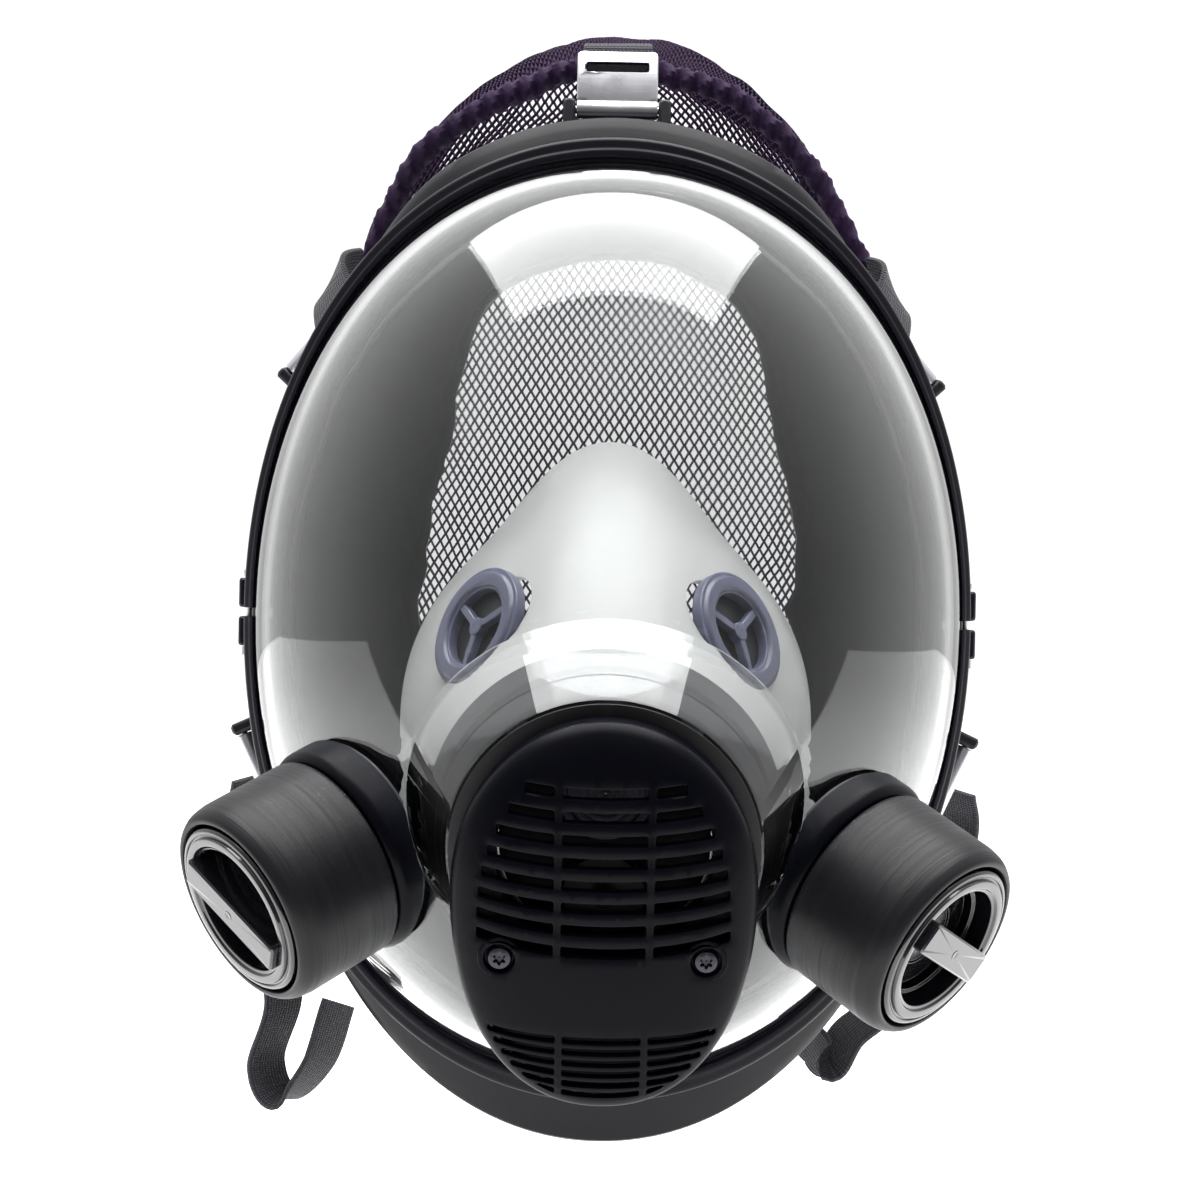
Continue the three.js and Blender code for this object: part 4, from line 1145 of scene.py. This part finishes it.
def buckles():
    half, top = BUCKLE_WIDTH / 2, BUCKLE_HEIGHT + 1.2
    slot_z = BUCKLE_HEIGHT - 3.6

    def barrel(x, z):
        return 0.8 * ((z - BUCKLE_HEIGHT / 2) / (BUCKLE_HEIGHT / 2)) ** 2

    def plate(reach, low, high, corner):
        return dense(rounded([(-reach, low), (reach, low), (reach, high), (-reach, high)], corner))

    def edges(i, grow):
        return plate(half - 2.2 + grow, slot_z - 1.5 - grow, slot_z + 1.5 + grow, 0.8)
    outline = plate(half - 0.3, 1.5, top - 0.3, 1.6)
    for name, place in ANCHORS.items():
        form = Form()
        sheet_with_holes(form, outline, [edges(0, 0)], barrel, BUCKLE_WALL, 1.5, 0.3, edges, 0.3)
        turn = Matrix.Rotation(radians(90), 4, "Z")
        roll = [(1.25, -half), (KNUCKLE, -half), (KNUCKLE, half), (1.25, half)]
        form.revolve(rounded(roll, 0.4), 48, turn)
        piece(make(f"{name}_buckle_plate", form, place), f"{name}_buckle", "steel", f"{name}_buckle")
        reach = half + 3.2
        pin = [(0.01, -reach), (0.95, -reach), (0.95, reach), (0.01, reach)]
        rod = make(f"{name}_hinge_pin", Form().revolve(rounded(pin, 0.3), 32, turn), place)
        piece(rod, "root", "steel", f"{name}_buckle_pin")


def dense(loop, step=1.4):
    """The loop with points added so that none are further apart than step."""
    result = []
    for i, p in enumerate(loop):
        q = loop[(i + 1) % len(loop)]
        count = max(1, int(hypot(q[0] - p[0], q[1] - p[1]) / step))
        result += [(lerp(p[0], q[0], k / count), lerp(p[1], q[1], k / count)) for k in range(count)]
    return result


# ---------------------------------------------------------------- camera, light and floor
def camera():
    data = bpy.data.cameras.new("camera")
    data.lens = 72
    data.sensor_width = 36
    data.clip_start = 0.01
    obj = bpy.data.objects.new("camera", data)
    bpy.context.collection.objects.link(obj)
    roll = radians(1.1)
    level = Matrix.Rotation(radians(90), 4, "X") @ Matrix.Rotation(roll, 4, "Z")
    obj.matrix_world = Matrix.Translation((-0.002, -0.6, 0.005)) @ level
    bpy.context.scene.camera = obj


def soft_box(name, place, target, size, power, color=(1, 1, 1)):
    data = bpy.data.lights.new(name, "AREA")
    data.shape = "RECTANGLE"
    data.size, data.size_y = size
    data.energy = power
    data.color = color
    obj = bpy.data.objects.new(name, data)
    bpy.context.collection.objects.link(obj)
    obj.location = place
    obj.rotation_euler = (Vector(target) - Vector(place)).to_track_quat("-Z", "Y").to_euler()


def studio():
    world = bpy.data.worlds.new("white room")
    bpy.context.scene.world = world
    world.use_nodes = True
    nodes, links = world.node_tree.nodes, world.node_tree.links
    back = nodes["Background"]
    place = nodes.new("ShaderNodeTexCoord")
    parts = nodes.new("ShaderNodeSeparateXYZ")
    strengths = []
    ramps = (("Y", -0.9, 0.2, WORLD_FRONT, WORLD_BACK), ("Z", 0.1, 0.9, 0, WORLD_TOP))
    for way, start, stop, low, high in ramps:
        ramp = nodes.new("ShaderNodeMapRange")
        ramp.inputs["From Min"].default_value = start
        ramp.inputs["From Max"].default_value = stop
        ramp.inputs["To Min"].default_value = low
        ramp.inputs["To Max"].default_value = high
        links.new(parts.outputs[way], ramp.inputs["Value"])
        strengths.append(ramp.outputs["Result"])
    both = nodes.new("ShaderNodeMath")
    both.operation = "ADD"
    links.new(strengths[0], both.inputs[0])
    links.new(strengths[1], both.inputs[1])
    path = nodes.new("ShaderNodeLightPath")
    seen = nodes.new("ShaderNodeMix")
    seen.inputs[3].default_value = WORLD_SEEN
    links.new(place.outputs["Generated"], parts.inputs[0])
    links.new(both.outputs[0], seen.inputs[2])
    links.new(path.outputs["Is Camera Ray"], seen.inputs[0])
    links.new(seen.outputs[0], back.inputs["Strength"])
    back.inputs["Color"].default_value = (1, 1, 1, 1)
    soft_box("overhead", (0, -0.05, 0.95), (0, 0, 0), (1.3, 1.0), 27)
    bpy.context.scene.view_settings.view_transform = "Standard"
    form = Form()
    reach, low = 4000, CAD_BOX[0][2] / MM - 60
    form.grid([[(x, y, low) for x in (-reach, 0, reach)] for y in (reach, 500, FLOOR_FROM)], wrap_cols=False)
    floor = make("floor", form)
    paint = material("white floor", (0.9, 0.9, 0.9), 0.6, specular=0.2)
    shader_of(paint).inputs["Emission Color"].default_value = (1, 1, 1, 1)
    shader_of(paint).inputs["Emission Strength"].default_value = FLOOR_GLOW
    bump(paint, fac(texture(paint, "ShaderNodeTexNoise", 60, Detail=2.0)), 0.05, 0.0005)
    floor.data.materials.append(paint)


camera()
studio()
clamp_frame()
face_blank()
lens()
front_valves()
exhalation_cover()
for _side in SIDES:
    side_port(_side)
nose_cup()
head_net()
harness()
buckles()
